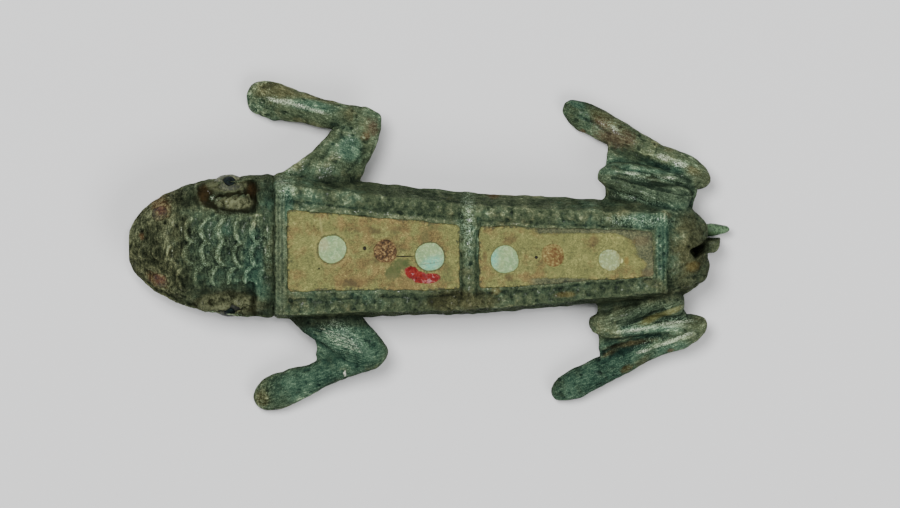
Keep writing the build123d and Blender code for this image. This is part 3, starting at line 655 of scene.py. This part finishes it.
teal_share = (broad * 0.6 + middle * 0.7 - 0.65) * 2.2 + 0.34 + hollow * 0.1 + teal_marks * 0.4
brown_share = (place.cloud(0.35, 4.0, 0.6, shift=83.0) * 0.6 + middle * 0.4).between(0.52, 0.64) * 0.55
brown_share = brown_share.most(on_snout * 0.58).most(brown_marks * 0.75) * (1 - teal_marks)
colour = brown_share.tint(teal_share.between(0.2, 0.8).tint(green, teal), brown)

# The lip behind the collar is greyer. Painted shade darkens the groove before it a little, and the sloping
# sides and the flanks more.
lip_tones = tone.ramp((0.2, (48, 56, 42)), (0.55, (88, 100, 79)), (0.9, (134, 144, 118)))
colour = (front_band * 0.5).tint(colour, lip_tones)
# Painted shade in the groove before the collar
collar = bent.between(-13.5, -13.15) * bent.between(-12.7, -12.95)
collar = collar * aside.between(4.0, 3.0) * aside.between(-4.8, -4.0)
colour = (collar * 0.12).tint(colour, shade(34, 46, 36))
# Painted shade on the sloping sides and the flanks, less on the right side, which the light reaches
painted_side_shade = upward.between(0.65, 0.0) * (0.5 - on_snout * 0.25 - right_flank * 0.25) * (1 - by_collar * 0.8)
side_shade_tones = tone.ramp((0.1, (16, 20, 12)), (0.5, (50, 57, 40)), (0.9, (98, 104, 78)))
colour = painted_side_shade.most(flanks * (0.6 - right_flank * 0.35)).tint(colour, side_shade_tones)

# The sockets are dark brown inside, darker in their hollows, with painted shadow under the crust that fills
# half of each
sockets = marked("sockets", [
    ((229, 194), 5.5, (2.8, 1.5), 0.0), ((228, 306), 5.5, (2.9, 1.3), 0.0),
], ragged=edge * 0.3, soft=0.2)
socket_shade = middle.between(0.4, 0.6).tint(shade(28, 28, 16), shade(50, 48, 28))
colour = (sockets * (1 - relief.between(-0.02, 0.1)) * 0.85).tint(colour, socket_shade)
# Painted shadow under the crust
under_crust = marked("under_crust", [
    ((238, 210.5), 6.5, (1.4, 0.18), 0.04), ((217, 206), 6.5, (0.8, 0.2), -0.35),
    ((254, 203), 6.5, (0.2, 0.6), 0.0),
], ragged=edge * 0.4, soft=0.6)
colour = (under_crust * 0.75).tint(colour, shade(32, 34, 22))
right_crust = marked("right_crust", [((236, 201), 5.5, (1.4, 0.5), 0.0)], ragged=rag * 0.4, soft=0.3)
left_crust = marked("left_crust", [((228, 302), 5.5, (2.6, 0.95), 0.0)], ragged=rag * 0.6, soft=0.4)
crust_tones = tone.ramp((0.15, (44, 48, 31)), (0.4, (80, 86, 61)), (0.75, (140, 143, 115)))
colour = (right_crust.most(left_crust) * 0.8).tint(colour, crust_tones)


def grown_over(colour, name, marks, ragged, soft, cover, tones):
    """The colour with a growth or a stain over it, which hides so much of it and has tones of its own."""
    return (marked(name, marks, ragged, soft) * cover).tint(colour, tones)


colour = grown_over(colour, "eyelid", [
    ((212, 185), 5.5, (0.55, 0.3), 0.2), ((244, 184), 5.5, (0.4, 0.3), -0.2),
    ((228, 188), 5.5, (1.4, 0.28), 0.0),
], ragged=rag * 0.35, soft=0.4, cover=0.8, tones=tone.ramp(
    (0.25, (38, 42, 27)), (0.75, (122, 126, 98))))
colour = grown_over(colour, "socket_brown", [
    ((204, 193), 5.5, (0.4, 0.6), 0.0), ((252, 189), 5.5, (0.35, 0.5), 0.0),
], ragged=rag * 0.8, soft=0.6, cover=0.6, tones=tone.ramp(
    (0.2, (56, 42, 26)), (0.7, (104, 80, 50))))

# Rust and rosy stains around the nostrils and on the right legs
colour = grown_over(colour, "stain", [
    ((161, 209), 7.5, (0.75, 0.8), 0.3), ((157, 281), 7.5, (0.9, 0.5), -0.5),
    ((142, 238), 8.0, (0.22, 0.28), 0.0), ((366, 135), 4.5, (0.35, 0.3), 0.5),
    ((583, 131), 1.5, (0.3, 0.2), -0.5), ((671, 350), 3.0, (0.3, 0.18), 0.3),
    ((494, 198), 8.5, (0.5, 0.25), 0.0), ((513, 198), 8.5, (0.4, 0.15), 0.0),
], ragged=rag, soft=0.5, cover=0.7, tones=tone.ramp(
    (0.1, (36, 28, 18)), (0.4, (72, 50, 34)), (0.65, (106, 78, 52)), (0.95, (146, 130, 100))))
colour = grown_over(colour, "rosy_stain", [
    ((614, 138), 3.0, (1.5, 0.7), -0.3), ((628, 139), 3.0, (0.6, 0.6), 0.0),
    ((373, 126), 4.0, (0.4, 0.7), 0.2), ((603, 124), 2.6, (0.8, 0.4), -0.4),
], ragged=rag * 0.9, soft=0.7, cover=0.6, tones=tone.ramp(
    (0.1, (42, 30, 26)), (0.45, (88, 64, 50)), (0.9, (140, 118, 96))))

# Ochre earth on the rump and the left border, and olive and rusty deposits along the left hind leg
colour = grown_over(colour, "ochre", [
    ((692, 267), 8.0, (0.5, 0.4), 0.0), ((566, 294), 8.0, (0.8, 0.22), 0.05),
    ((627, 368), 2.0, (0.5, 0.3), 0.5), ((496, 291), 8.3, (0.4, 0.3), 0.0),
], ragged=rag * 0.8, soft=0.5, cover=0.5, tones=tone.ramp(
    (0.2, (80, 62, 28)), (0.5, (122, 108, 64)), (0.9, (160, 150, 108))))
colour = grown_over(colour, "deposit", [
    ((668, 311), 4.4, (1.3, 0.26), 0.42), ((652, 318), 4.4, (1.0, 0.3), 0.45),
], ragged=rag * 0.25, soft=0.5, cover=0.75, tones=tone.ramp(
    (0.2, (78, 78, 46)), (0.5, (122, 122, 78)), (0.9, (154, 154, 112))))
colour = grown_over(colour, "rusty", [
    ((630, 344), 3.4, (2.1, 0.24), 0.2), ((610, 353), 3.0, (0.7, 0.24), 0.5),
], ragged=rag * 0.6, soft=0.6, cover=0.7, tones=tone.ramp(
    (0.2, (34, 28, 14)), (0.5, (78, 62, 34)), (0.9, (140, 118, 78))))

# Pale crumbs on the crossbar and elsewhere, partly painted highlight, painted glints by the left eye, and one
# white fleck on the left front leg
colour = grown_over(colour, "pale_marks", [
    ((469.3, 211.5), 9.0, (0.2, 0.16), 0.0), ((208, 312), 5.5, (0.14, 0.1), 0.0),
    ((216, 314), 5.5, (0.16, 0.1), 0.0), ((230, 315.5), 5.5, (0.36, 0.12), -0.1),
    ((362, 127), 4.4, (0.2, 0.2), 0.0), ((477.5, 215), 9.0, (0.28, 0.22), 0.0),
    ((462, 246), 9.0, (0.2, 0.3), 0.0),
], ragged=rag * 0.9, soft=0.7, cover=0.7, tones=tone.ramp(
    (0.2, (76, 88, 64)), (0.6, (134, 150, 120))))
fleck = marked("fleck", [((344.5, 372), 3.2, (0.11, 0.34), 0.1)], ragged=rag * 0.15, soft=0.3)
colour = (fleck * 0.9).tint(colour, shade(206, 214, 196))

# Painted highlights: pale sparkle painted in fine grains where the light glints, and a few brighter painted
# gleams
bright_marks = marked("bright_marks", [
    ((276, 99), 2.2, (1.0, 0.3), -0.25), ((286, 101), 2.4, (0.8, 0.34), -0.15),
    ((302, 105), 2.8, (1.3, 0.3), -0.25), ((322, 110), 3.2, (1.2, 0.24), -0.26),
    ((664, 158), 4, (0.9, 0.4), -0.3), ((681, 164), 4, (0.8, 0.4), -0.35),
    ((648, 327), 4.4, (3.2, 0.45), 0.1), ((672, 322), 4.4, (1.4, 0.4), 0.1),
    ((676, 340), 3.8, (1.8, 0.34), 0.38), ((654, 345), 3.4, (1.4, 0.5), 0.3),
    ((342, 339), 5, (1.6, 1.0), -0.3), ((638, 175), 4.8, (1.2, 0.3), -0.2),
    ((668, 179), 4.6, (1.0, 0.24), -0.1), ((636, 196), 5, (1.6, 0.4), -0.2),
    ((222, 315), 5.5, (1.4, 0.3), -0.1), ((468, 225), 9, (0.5, 2.2), 0.0),
    ((612, 125), 3, (0.9, 0.4), -0.4), ((637, 221), 8.5, (2.4, 0.4), -0.05),
    ((213, 197), 5.5, (0.2, 0.2), 0.0), ((286, 188), 8.8, (0.6, 0.9), 0.0),
], ragged=broken * 0.4, soft=0.8)
scales = marked("scales", [((230, 250), 8.4, (3.6, 2.8), 0.0)], ragged=broken * 0.3, soft=0.3)
painted_sparkle = bright_marks.most(scales * (0.06 + ridge * 0.6)).most(legs * ridge * 0.2)
glitter = speckle * (0.5 - legs * 0.15) + tiny * 0.25 + grain * (0.25 + legs * 0.15)
# Painted sparkle in a pale green-white
colour = (painted_sparkle * glitter.between(0.5, 0.6) * (0.8 - legs * 0.2)).tint(colour, shade(180, 196, 178))
# Painted gleams, some in rows along the file marks
painted_file_glints = [((324 + row * 3.4 + dash * 7.5, 328 + row * 3.9 + dash * 2.5), 5.0, (0.26, 0.06), -0.33)
               for row in range(5) for dash in range(4)]
gleams = marked("gleams", painted_file_glints + [
    ((276, 99.5), 2.2, (0.7, 0.14), -0.25), ((286, 101), 2.4, (0.6, 0.2), -0.15),
    ((300, 105), 2.8, (0.8, 0.14), -0.25), ((317, 110), 3.2, (0.8, 0.12), -0.26),
    ((664, 157.5), 4, (0.5, 0.2), -0.3), ((681, 163.5), 4, (0.5, 0.2), -0.35),
    ((637, 329), 4.4, (0.9, 0.14), 0.1), ((674, 322.5), 4.4, (1.2, 0.12), 0.1),
    ((668, 342), 3.8, (0.9, 0.14), 0.38), ((684, 335), 3.8, (0.8, 0.1), 0.38),
    ((644, 351), 3.4, (0.5, 0.12), 0.3), ((173, 253), 8, (0.05, 0.25), 0.0),
    ((268, 229), 8.6, (0.05, 0.3), 0.0), ((266, 250), 8.6, (0.05, 0.35), 0.0),
    ((182, 231), 8.4, (0.05, 0.3), 0.0), ((468.5, 211.5), 9, (0.16, 0.14), 0.0),
    ((228, 315.5), 5.5, (0.5, 0.12), -0.1), ((213, 197), 5.5, (0.1, 0.1), 0.0),
    ((614, 128), 3, (0.3, 0.14), -0.4), ((632, 173), 5, (0.5, 0.1), -0.1),
    ((669, 178), 5, (0.5, 0.1), 0.0),
], ragged=rag * 0.35, soft=0.8)
gleams = gleams * (tiny * 0.45 + speckle * 0.55).between(0.45, 0.55) * (0.75 - hatched * 0.25)
colour = gleams.tint(colour, shade(198, 208, 190))

# A thin gloss on the glittering grains, and a skin rough in two grains
glint = (tiny * 0.4 + speckle * 0.6 + ridge * 0.02 + bright_marks * 0.06 + drawn * 0.03).between(0.58, 0.66)
rough_skin = (grain * 0.6 + tiny * 0.4 + ribs * 0.1).bump(0.22, strength=1.0)
fine_skin = place.cloud(20.0, 2.0, 0.6, shift=5.0).bump(0.07, strength=0.8, under=rough_skin)
connect(shader, Base_Color=colour, Roughness=0.7 - glint * 0.3, Coat_Weight=glint * 0.85, Normal=fine_skin)

set_in_place(body, "body", patina)


# The two panels of opaque enamel, ochre yellow gone sandy, fused into the cells of the back and polished
# level with its borders. The front one has lost a chip beside its third spot, and its glass is red there.
half_in_mm = 500


def spot_ring(place, node, ragged):
    """How far out a place lies from the middle of a spot, 1 on its rim."""
    low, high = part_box(node)
    centre = (low + high) * half_in_mm
    radius = (high - low).x * half_in_mm
    return place.oval((centre.x, centre.y), (radius, radius)) + ragged


enamel, shader, place = finish("ochre enamel", Specular_IOR_Level=0.35, Coat_Roughness=0.1)
broad = place.cloud(0.3, 4.0, 0.6, shift=3.0)
middle = place.cloud(1.1, 5.0, 0.6, shift=17.0)
small = place.cloud(4.5, 4.0, 0.7, shift=29.0)
tiny = place.cloud(12.0, 2.0, 0.6, shift=41.0)
rag = (small - 0.5) * 2.2
tone = (small * 0.35 + tiny * 0.4 + middle * 0.25 - 0.5) * 3.0 + 0.5
warm = tone.ramp((0.0, (84, 68, 38)), (0.3, (116, 102, 62)), (0.5, (136, 122, 78)),
                 (0.75, (156, 142, 96)), (1.0, (186, 174, 130)))
fresh = tone.ramp((0.0, (82, 84, 50)), (0.3, (116, 120, 74)), (0.5, (134, 136, 86)),
                  (0.75, (154, 154, 104)), (1.0, (184, 184, 140)))
warmth = broad * 0.5 + place.cloud(0.8, 5.0, 0.65, shift=71.0) * 0.5 - place.part(0).between(3.0, 5.0) * 0.04
colour = warmth.between(0.43, 0.57).tint(fresh, warm)
stain = place.patches([
    ((384, 253), 8.3, (1.2, 0.85), 0.5), ((368, 230), 8.3, (1.3, 0.3), -0.1),
    ((398, 229), 8.3, (0.9, 0.25), 0.0), ((352, 282), 8.3, (1.5, 0.35), 0.0),
    ((485, 256), 8.2, (0.2, 0.5), 0.0), ((510, 240), 8.2, (0.6, 0.3), 0.3),
    ((509, 277), 8.2, (0.4, 0.3), 0.0), ((593, 240), 8.0, (0.4, 0.5), 0.0),
], ragged=rag * 0.8, soft=0.5)
colour = (stain * 0.7).tint(colour, middle.between(0.4, 0.6).tint(shade(92, 76, 48), shade(132, 112, 72)))
pits = (small * 0.5 + tiny * 0.5).between(0.36, 0.3)
colour = (pits * 0.6).tint(colour, shade(70, 66, 44))

# Verdigris beside the chip, thin cracks, pin holes, and the dark rims of four spots
verdigris = place.patches([
    ((401, 264), 8.3, (0.75, 0.5), 0.2), ((393, 272), 8.3, (0.7, 0.6), 0.5),
], ragged=rag * 0.4, soft=0.2)
verdigris_shade = middle.between(0.4, 0.6).tint(shade(84, 100, 52), shade(106, 110, 68))
colour = (verdigris * 0.85).tint(colour, verdigris_shade)
greener = place.patches([
    ((425, 236), 8.3, (0.35, 0.8), 0.1), ((447, 270), 8.3, (0.4, 0.9), 0.0),
    ((436, 228), 8.3, (0.8, 0.25), 0.0),
], ragged=rag * 0.7, soft=0.5)
colour = (greener * 0.5).tint(colour, shade(100, 108, 66))
vein = place.patch((321.5, 225), 8.4, (0.1, 0.75), turn=0.12, ragged=rag * 0.6, soft=0.6)
colour = (vein * 0.45).tint(colour, shade(168, 166, 122))
seam = place.patch((404, 256), 8.3, (0.75, 0.05), ragged=rag * 0.25, soft=0.5)
pin_holes = place.patches([
    ((365, 248), 8.4, (0.14, 0.17), 0.0), ((536, 257), 8.1, (0.13, 0.13), 0.0),
    ((319.5, 268), 8.4, (0.07, 0.07), 0.0),
], ragged=rag * 0.1, soft=0.2)
colour = seam.most(pin_holes).tint(colour, shade(38, 34, 22))
rim_darkness = {"spot_front_1": 0.55, "spot_front_3": 0.7, "spot_rear_1": 0.3, "spot_rear_3": 0.15}
for node, darkness in rim_darkness.items():
    ring = spot_ring(place, node, (small - 0.5) * 0.3)
    colour = (ring.between(1.12, 1.04) * darkness).tint(colour, shade(84, 88, 56))
halo = spot_ring(place, "spot_front_1", rag * 0.12)
colour = (halo.between(1.1, 1.16) * halo.between(1.36, 1.2) * 0.3).tint(colour, shade(164, 158, 110))

# The chip, red with a brown edge
chip = place.patches([
    ((412, 272), 8.3, (0.62, 0.5), -0.35), ((420, 277), 8.3, (0.7, 0.5), -0.2),
    ((430, 278), 8.3, (0.85, 0.42), 0.15),
], ragged=rag * 0.3, soft=0.12)
red = tone.ramp((0.1, (84, 8, 6)), (0.4, (146, 16, 12)), (0.65, (160, 36, 26)),
                (0.85, (168, 92, 74)), (1.0, (180, 140, 118)))
colour = (chip.between(0.02, 0.5) * 0.8).tint(colour, shade(136, 100, 68))
colour = chip.between(0.4, 0.9).tint(colour, red)

# Crust of the casting that has crept over the rear panel, and the small marks in it
along = place.part(0)
level = place.part(1)
drop = (along - 15.5).most(0.0)
upper_crust = (level + rag * 0.25 + drop * 0.4).between(1.6, 1.8) * (along + rag * 0.5).between(8.5, 9.2)
lower_crust = (level - rag * 0.25).between(-1.95, -2.1) * along.between(8.0, 9.0) * along.between(13.8, 12.6)
triangle = place.patch((636, 263), 8.0, (0.85, 0.5), turn=-0.3, ragged=rag * 0.2, soft=0.2)
tail_crust = (along + rag * 0.6 + level * 0.3).between(17.0, 17.5) * (1 - triangle)
crust = tail_crust.most(upper_crust).most(lower_crust)
crust_tones = tone.ramp((0.1, (50, 58, 42)), (0.5, (100, 106, 78)), (0.9, (142, 143, 112)))
colour = (crust * 0.95).tint(colour, crust_tones)
rosy = place.patches([
    ((648, 273), 8.0, (0.8, 0.35), 0.1), ((640, 241), 8.0, (0.7, 0.4), 0.0),
], ragged=rag * 0.6, soft=0.5)
colour = (rosy * 0.2).tint(colour, shade(142, 112, 80))
bead = place.patch((620.5, 260.5), 8.0, (0.17, 0.2), ragged=rag * 0.1, soft=0.3)
colour = (bead * 0.9).tint(colour, shade(188, 190, 150))
orange = place.patch((626, 260.5), 8.0, (0.2, 0.35), ragged=rag * 0.4, soft=0.4)
colour = (orange * 0.5).tint(colour, shade(146, 116, 58))

# The edges of both panels are overgrown from the casting.
rim = place.kept("rim")
overgrown = (rim + (small - 0.5) * 0.7 + (middle - 0.5) * 0.7).between(0.13, 0.0)
colour = (overgrown * 0.7).tint(colour, small.between(0.4, 0.6).tint(shade(60, 68, 48), shade(112, 112, 80)))

glossy = chip.between(0.5, 0.9)
bumps = small * 0.5 + tiny * 0.5 - pits * 0.4 - seam * 0.6 - pin_holes * 0.8 + crust * small * 0.6
connect(shader, Base_Color=colour, Roughness=0.72 - glossy * 0.2, Coat_Weight=glossy * 0.15,
        Normal=bumps.bump(0.16, strength=0.9))

# Each panel is a little uneven and pitted on top, with a crack and the chip sunk in, and it fills its cell.
panel_spread = 0.06
crack_depth = 0.1
chip_depth = 0.1
crack_path = [at(397, 256, 8.3), at(404, 257, 8.3), at(411, 256, 8.3)]
chip_path = [at(408, 272, 8.3), at(421, 279, 8.3), at(436, 276, 8.3)]
for node in ("enamel_front", "enamel_rear"):
    panel = fine_copy(node.replace("enamel", "enamel_panel"), node, grain=0.09)
    points, outward = points_of(panel)
    amount = 0.02 * lumps(points, 1.5) + 0.015 * lumps(points, 0.4, layers=2, shift=9.0)
    amount -= 0.05 * rise(lumps(points, 0.5, layers=2, shift=3.0), 0.4, 0.7)
    amount -= crack_depth * line(points, crack_path, width=0.1)
    chipped = line(points, chip_path, width=0.75)
    amount += chipped * (0.09 * lumps(points, 0.45, layers=2, shift=5.0) - chip_depth)
    amount *= rise(outward[:, 2], 0.2, 0.8)
    amount += panel_spread * rise(np.hypot(outward[:, 0], outward[:, 1]), 0.3, 0.8)
    keep(panel, "rim", gap_to(points, ("body",), reach=1.0))
    move_points(panel, wander(points + outward * amount[:, None]))
    set_in_place(panel, node, enamel)


# The round spots of enamel along the middle of the panels. Four are still whole, chalky white with a cast of
# turquoise, set in the ochre glass before it was polished.
pale, shader, place = finish("pale enamel", Specular_IOR_Level=0.35)
middle = place.cloud(1.3, 4.0, 0.6, shift=2.0)
small = place.cloud(6.0, 4.0, 0.7, shift=13.0)
colour = middle.between(0.4, 0.6).tint(shade(151, 167, 128), shade(138, 161, 123))
blue = place.patch((432, 263), 8.3, (0.9, 0.5), turn=0.4, ragged=(small - 0.5) * 1.2, soft=0.7).most(
    place.patch((493, 258), 8.2, (0.4, 0.8), ragged=(small - 0.5) * 1.2, soft=0.9))
colour = (blue * 0.75).tint(colour, shade(122, 178, 164))
rust_edge = place.patch((323, 244), 8.4, (0.5, 0.6), ragged=(small - 0.5) * 0.8, soft=0.5)
colour = (rust_edge * 0.35).tint(colour, shade(176, 158, 132))
last = place.patch((611, 260), 8.0, (1.0, 1.0), soft=0.1)
colour = (last * 0.7).tint(colour, shade(150, 155, 112))
ring = spot_ring(place, "spot_rear_3", (small - 0.5) * 2.4)
colour = (ring.between(0.75, 1.05) * last * 0.9).tint(colour, shade(142, 139, 94))
crack = place.patch((430, 263), 8.3, (0.85, 0.05), turn=0.12, ragged=(small - 0.5) * 0.8, soft=0.5)
colour = (crack * 0.7).tint(colour, shade(92, 120, 104))
colour = (small.between(0.5, 0.38) * 0.4).tint(colour, shade(118, 126, 98))
colour = (place.cloud(5.0, 3.0, 0.7, shift=35.0).between(0.5, 0.6) * 0.35).tint(colour, shade(182, 192, 166))
connect(shader, Base_Color=colour, Roughness=0.55 + middle * 0.1,
        Normal=(small - crack * 0.5).bump(0.05, strength=0.7))

for node in ("spot_front_1", "spot_front_3", "spot_rear_1", "spot_rear_3"):
    spot = fine_copy(node.replace("spot", "pale_spot"), node, grain=0.055)
    points, outward = points_of(spot)
    amount = 0.012 * lumps(points, 0.5) * rise(outward[:, 2], 0.2, 0.8)
    move_points(spot, wander(points + outward * amount[:, None]))
    set_in_place(spot, node, pale)


# The middle spot of each panel was red enamel, let into the ochre like the others. Its glass has decayed to a
# rough red-brown crumb, a little sunken.
decayed, shader, place = finish("decayed enamel", Specular_IOR_Level=0.35)
middle = place.cloud(1.6, 4.0, 0.6, shift=8.0)
small = place.cloud(5.0, 5.0, 0.7, shift=19.0)
tone = (small * 0.7 + middle * 0.3 - 0.5) * 4.0 + 0.5
colour = tone.ramp((0.0, (54, 38, 26)), (0.35, (100, 76, 48)), (0.6, (138, 112, 76)),
                   (1.0, (180, 166, 128)))
second = place.patch((553, 256), 8.1, (1.2, 1.2))
ground = tone.ramp((0.0, (104, 78, 44)), (0.35, (136, 116, 72)), (0.6, (146, 136, 90)),
                   (1.0, (176, 164, 120)))
colour = second.tint(colour, ground)
orange = place.patch((554, 257), 8.1, (0.55, 0.75), turn=0.3, ragged=(small - 0.5) * 5, soft=0.5)
colour = (orange * second * 0.4).tint(colour, shade(138, 96, 56))
connect(shader, Base_Color=colour, Roughness=0.75 - small * 0.1, Normal=small.bump(0.2, strength=0.9))

for node in ("spot_front_2", "spot_rear_2"):
    spot = fine_copy(node.replace("spot", "decayed_spot"), node, grain=0.055)
    points, outward = points_of(spot)
    amount = (0.12 * lumps(points, 0.4, shift=4.0) - 0.05) * rise(outward[:, 2], 0.2, 0.8)
    move_points(spot, wander(points + outward * amount[:, None]))
    set_in_place(spot, node, decayed)


# The eyes: beads of cream glass, pressed into the sockets at the sides of the head. The left one lies nearly
# hidden under crust, and its glass is painted dark, for the crust and as painted shade.
cream, shader, place = finish("cream glass", Specular_IOR_Level=0.4)
middle = place.cloud(1.4, 4.0, 0.6, shift=6.0)
small = place.cloud(5.0, 4.0, 0.65, shift=15.0)
tone = (small * 0.6 + middle * 0.4 - 0.5) * 3.0 + 0.5
colour = tone.ramp((0.0, (28, 32, 20)), (0.35, (64, 70, 48)), (0.6, (100, 105, 78)),
                   (1.0, (144, 146, 118)))
# The left bead is painted dark, partly for its crust and partly as painted shade
crusted_and_shaded = tone.ramp((0.2, (14, 16, 10)), (0.6, (46, 52, 36)), (1.0, (120, 126, 100)))
colour = place.part(1).between(0.0, -1.0).tint(colour, crusted_and_shaded)
connect(shader, Base_Color=colour, Roughness=0.42 + small * 0.2, Normal=small.bump(0.1, strength=0.8))

for side in ("right", "left"):
    eye = fine_copy("eye_bead_" + side, "eye_" + side, grain=0.07)
    points, outward = points_of(eye)
    amount = 0.03 * lumps(points, 0.7, shift=2.0)
    move_points(eye, wander(points + outward * amount[:, None]))
    set_in_place(eye, "eye_" + side, cream)


# The pupils: small dots of dark glass, let into the outer face of the eye beads. They keep more of their
# polish than the other glass.
dark, shader, place = finish("dark glass", Specular_IOR_Level=0.15)
small = place.cloud(5.0, 3.0, 0.6, shift=9.0)
colour = small.between(0.4, 0.6).tint(shade(8, 14, 14), shade(20, 36, 36))
connect(shader, Base_Color=colour, Roughness=0.35 + small * 0.2, Normal=small.bump(0.05, strength=0.7))

for side in ("right", "left"):
    pupil = fine_copy("pupil_bead_" + side, "pupil_" + side, grain=0.04)
    points, outward = points_of(pupil)
    move_points(pupil, wander(points + outward * (0.01 * lumps(points, 0.4))[:, None]))
    set_in_place(pupil, "pupil_" + side, dark)


# The nostrils: two dots of red enamel, fused into small pits on the snout. They have gone brown and crumbly,
# and their rust runs out over the skin.
nostril_red, shader, place = finish("nostril enamel", Specular_IOR_Level=0.35)
middle = place.cloud(1.5, 4.0, 0.6, shift=12.0)
small = place.cloud(4.5, 5.0, 0.7, shift=21.0)
tone = (small * 0.6 + middle * 0.4 - 0.5) * 3.4 + 0.5
colour = tone.ramp((0.0, (30, 24, 14)), (0.35, (68, 44, 28)), (0.6, (108, 70, 46)),
                   (0.8, (122, 98, 70)), (1.0, (150, 138, 108)))
rag = (small - 0.5) * 2.6
whole = place.patches([
    ((161, 209), 7.5, (0.55, 0.6), 0.3), ((159, 280), 7.5, (0.6, 0.45), -0.4),
], ragged=rag, soft=0.5)
colour = whole.tint(tone.ramp((0.0, (24, 26, 14)), (0.5, (84, 82, 54)), (1.0, (150, 146, 112))), colour)
connect(shader, Base_Color=colour, Roughness=0.7 - small * 0.2, Normal=small.bump(0.2, strength=0.9))

for side in ("right", "left"):
    nostril = fine_copy("nostril_dot_" + side, "nostril_" + side, grain=0.05)
    points, outward = points_of(nostril)
    amount = (0.1 * lumps(points, 0.4, shift=6.0) - 0.02) * rise(outward[:, 2], 0.0, 0.5)
    move_points(nostril, wander(points + outward * amount[:, None]))
    set_in_place(nostril, "nostril_" + side, nostril_red)


# The pin: a drawn wire of copper alloy with a cross-bar for a head, which hinges between the lugs and springs
# into the catch. Its tip is pale green.
wire, shader, place = finish("pin patina", Specular_IOR_Level=0.35)
middle = place.cloud(1.2, 4.0, 0.6, shift=4.0)
small = place.cloud(4.0, 4.0, 0.65, shift=27.0)
colour = middle.between(0.4, 0.6).tint(shade(110, 138, 104), shade(78, 104, 76))
colour = (small.between(0.5, 0.4) * 0.85).tint(colour, shade(40, 70, 40))
colour = (place.part(0).between(22.2, 20.5) * 0.5).tint(colour, shade(84, 92, 70))
connect(shader, Base_Color=colour, Roughness=0.5 - small * 0.1, Normal=small.bump(0.12, strength=0.8))

pin = fine_copy("pin_wire", "pin", grain=0.09)
points, outward = points_of(pin)
amount = 0.03 * lumps(points, 0.8, shift=3.0)
amount -= 0.04 * rise(lumps(points, 0.5, layers=2, shift=13.0), 0.3, 0.7)
move_points(pin, points + outward * amount[:, None])
set_in_place(pin, "pin", wire)


# A plain pale table top for the brooch to lie on, soft light from above on both sides, and one smaller lamp
# for the glints. The room adds a little even light.
table = bpy.data.objects.new("table", bpy.data.meshes.new("table"))
form = bmesh.new()
bmesh.ops.create_grid(form, x_segments=1, y_segments=1, size=3.0)
form.to_mesh(table.data)
form.free()
scene.collection.objects.link(table)
pale_top, shader, place = finish("pale table", Roughness=0.9)
connect(shader, Base_Color=place.cloud(0.01, 2.0).tint(shade(214, 213, 210), shade(222, 221, 218)))
table.data.materials.append(pale_top)

# Each lamp has its place, its width and its power.
lamps = [
    ("key", (-0.1, 0.17, 0.6), 0.22, 3.3),
    ("fill", (0.22, -0.24, 0.5), 0.35, 1.3),
    ("sparkle", (0.04, 0.1, 0.7), 0.05, 0.7),
]
for name, spot, width, power in lamps:
    lamp = bpy.data.objects.new(name, bpy.data.lights.new(name, "AREA"))
    lamp.data.shape = "DISK"
    lamp.data.size = width
    lamp.data.energy = power
    lamp.location = spot
    lamp.rotation_euler = (Vector((0, 0, 0.005)) - Vector(spot)).to_track_quat("-Z", "Y").to_euler()
    scene.collection.objects.link(lamp)

room = bpy.data.worlds.new("room")
scene.world = room
room.use_nodes = True
room.node_tree.nodes["Background"].inputs["Color"].default_value = (0.95, 0.97, 1.0, 1.0)
room.node_tree.nodes["Background"].inputs["Strength"].default_value = 0.2
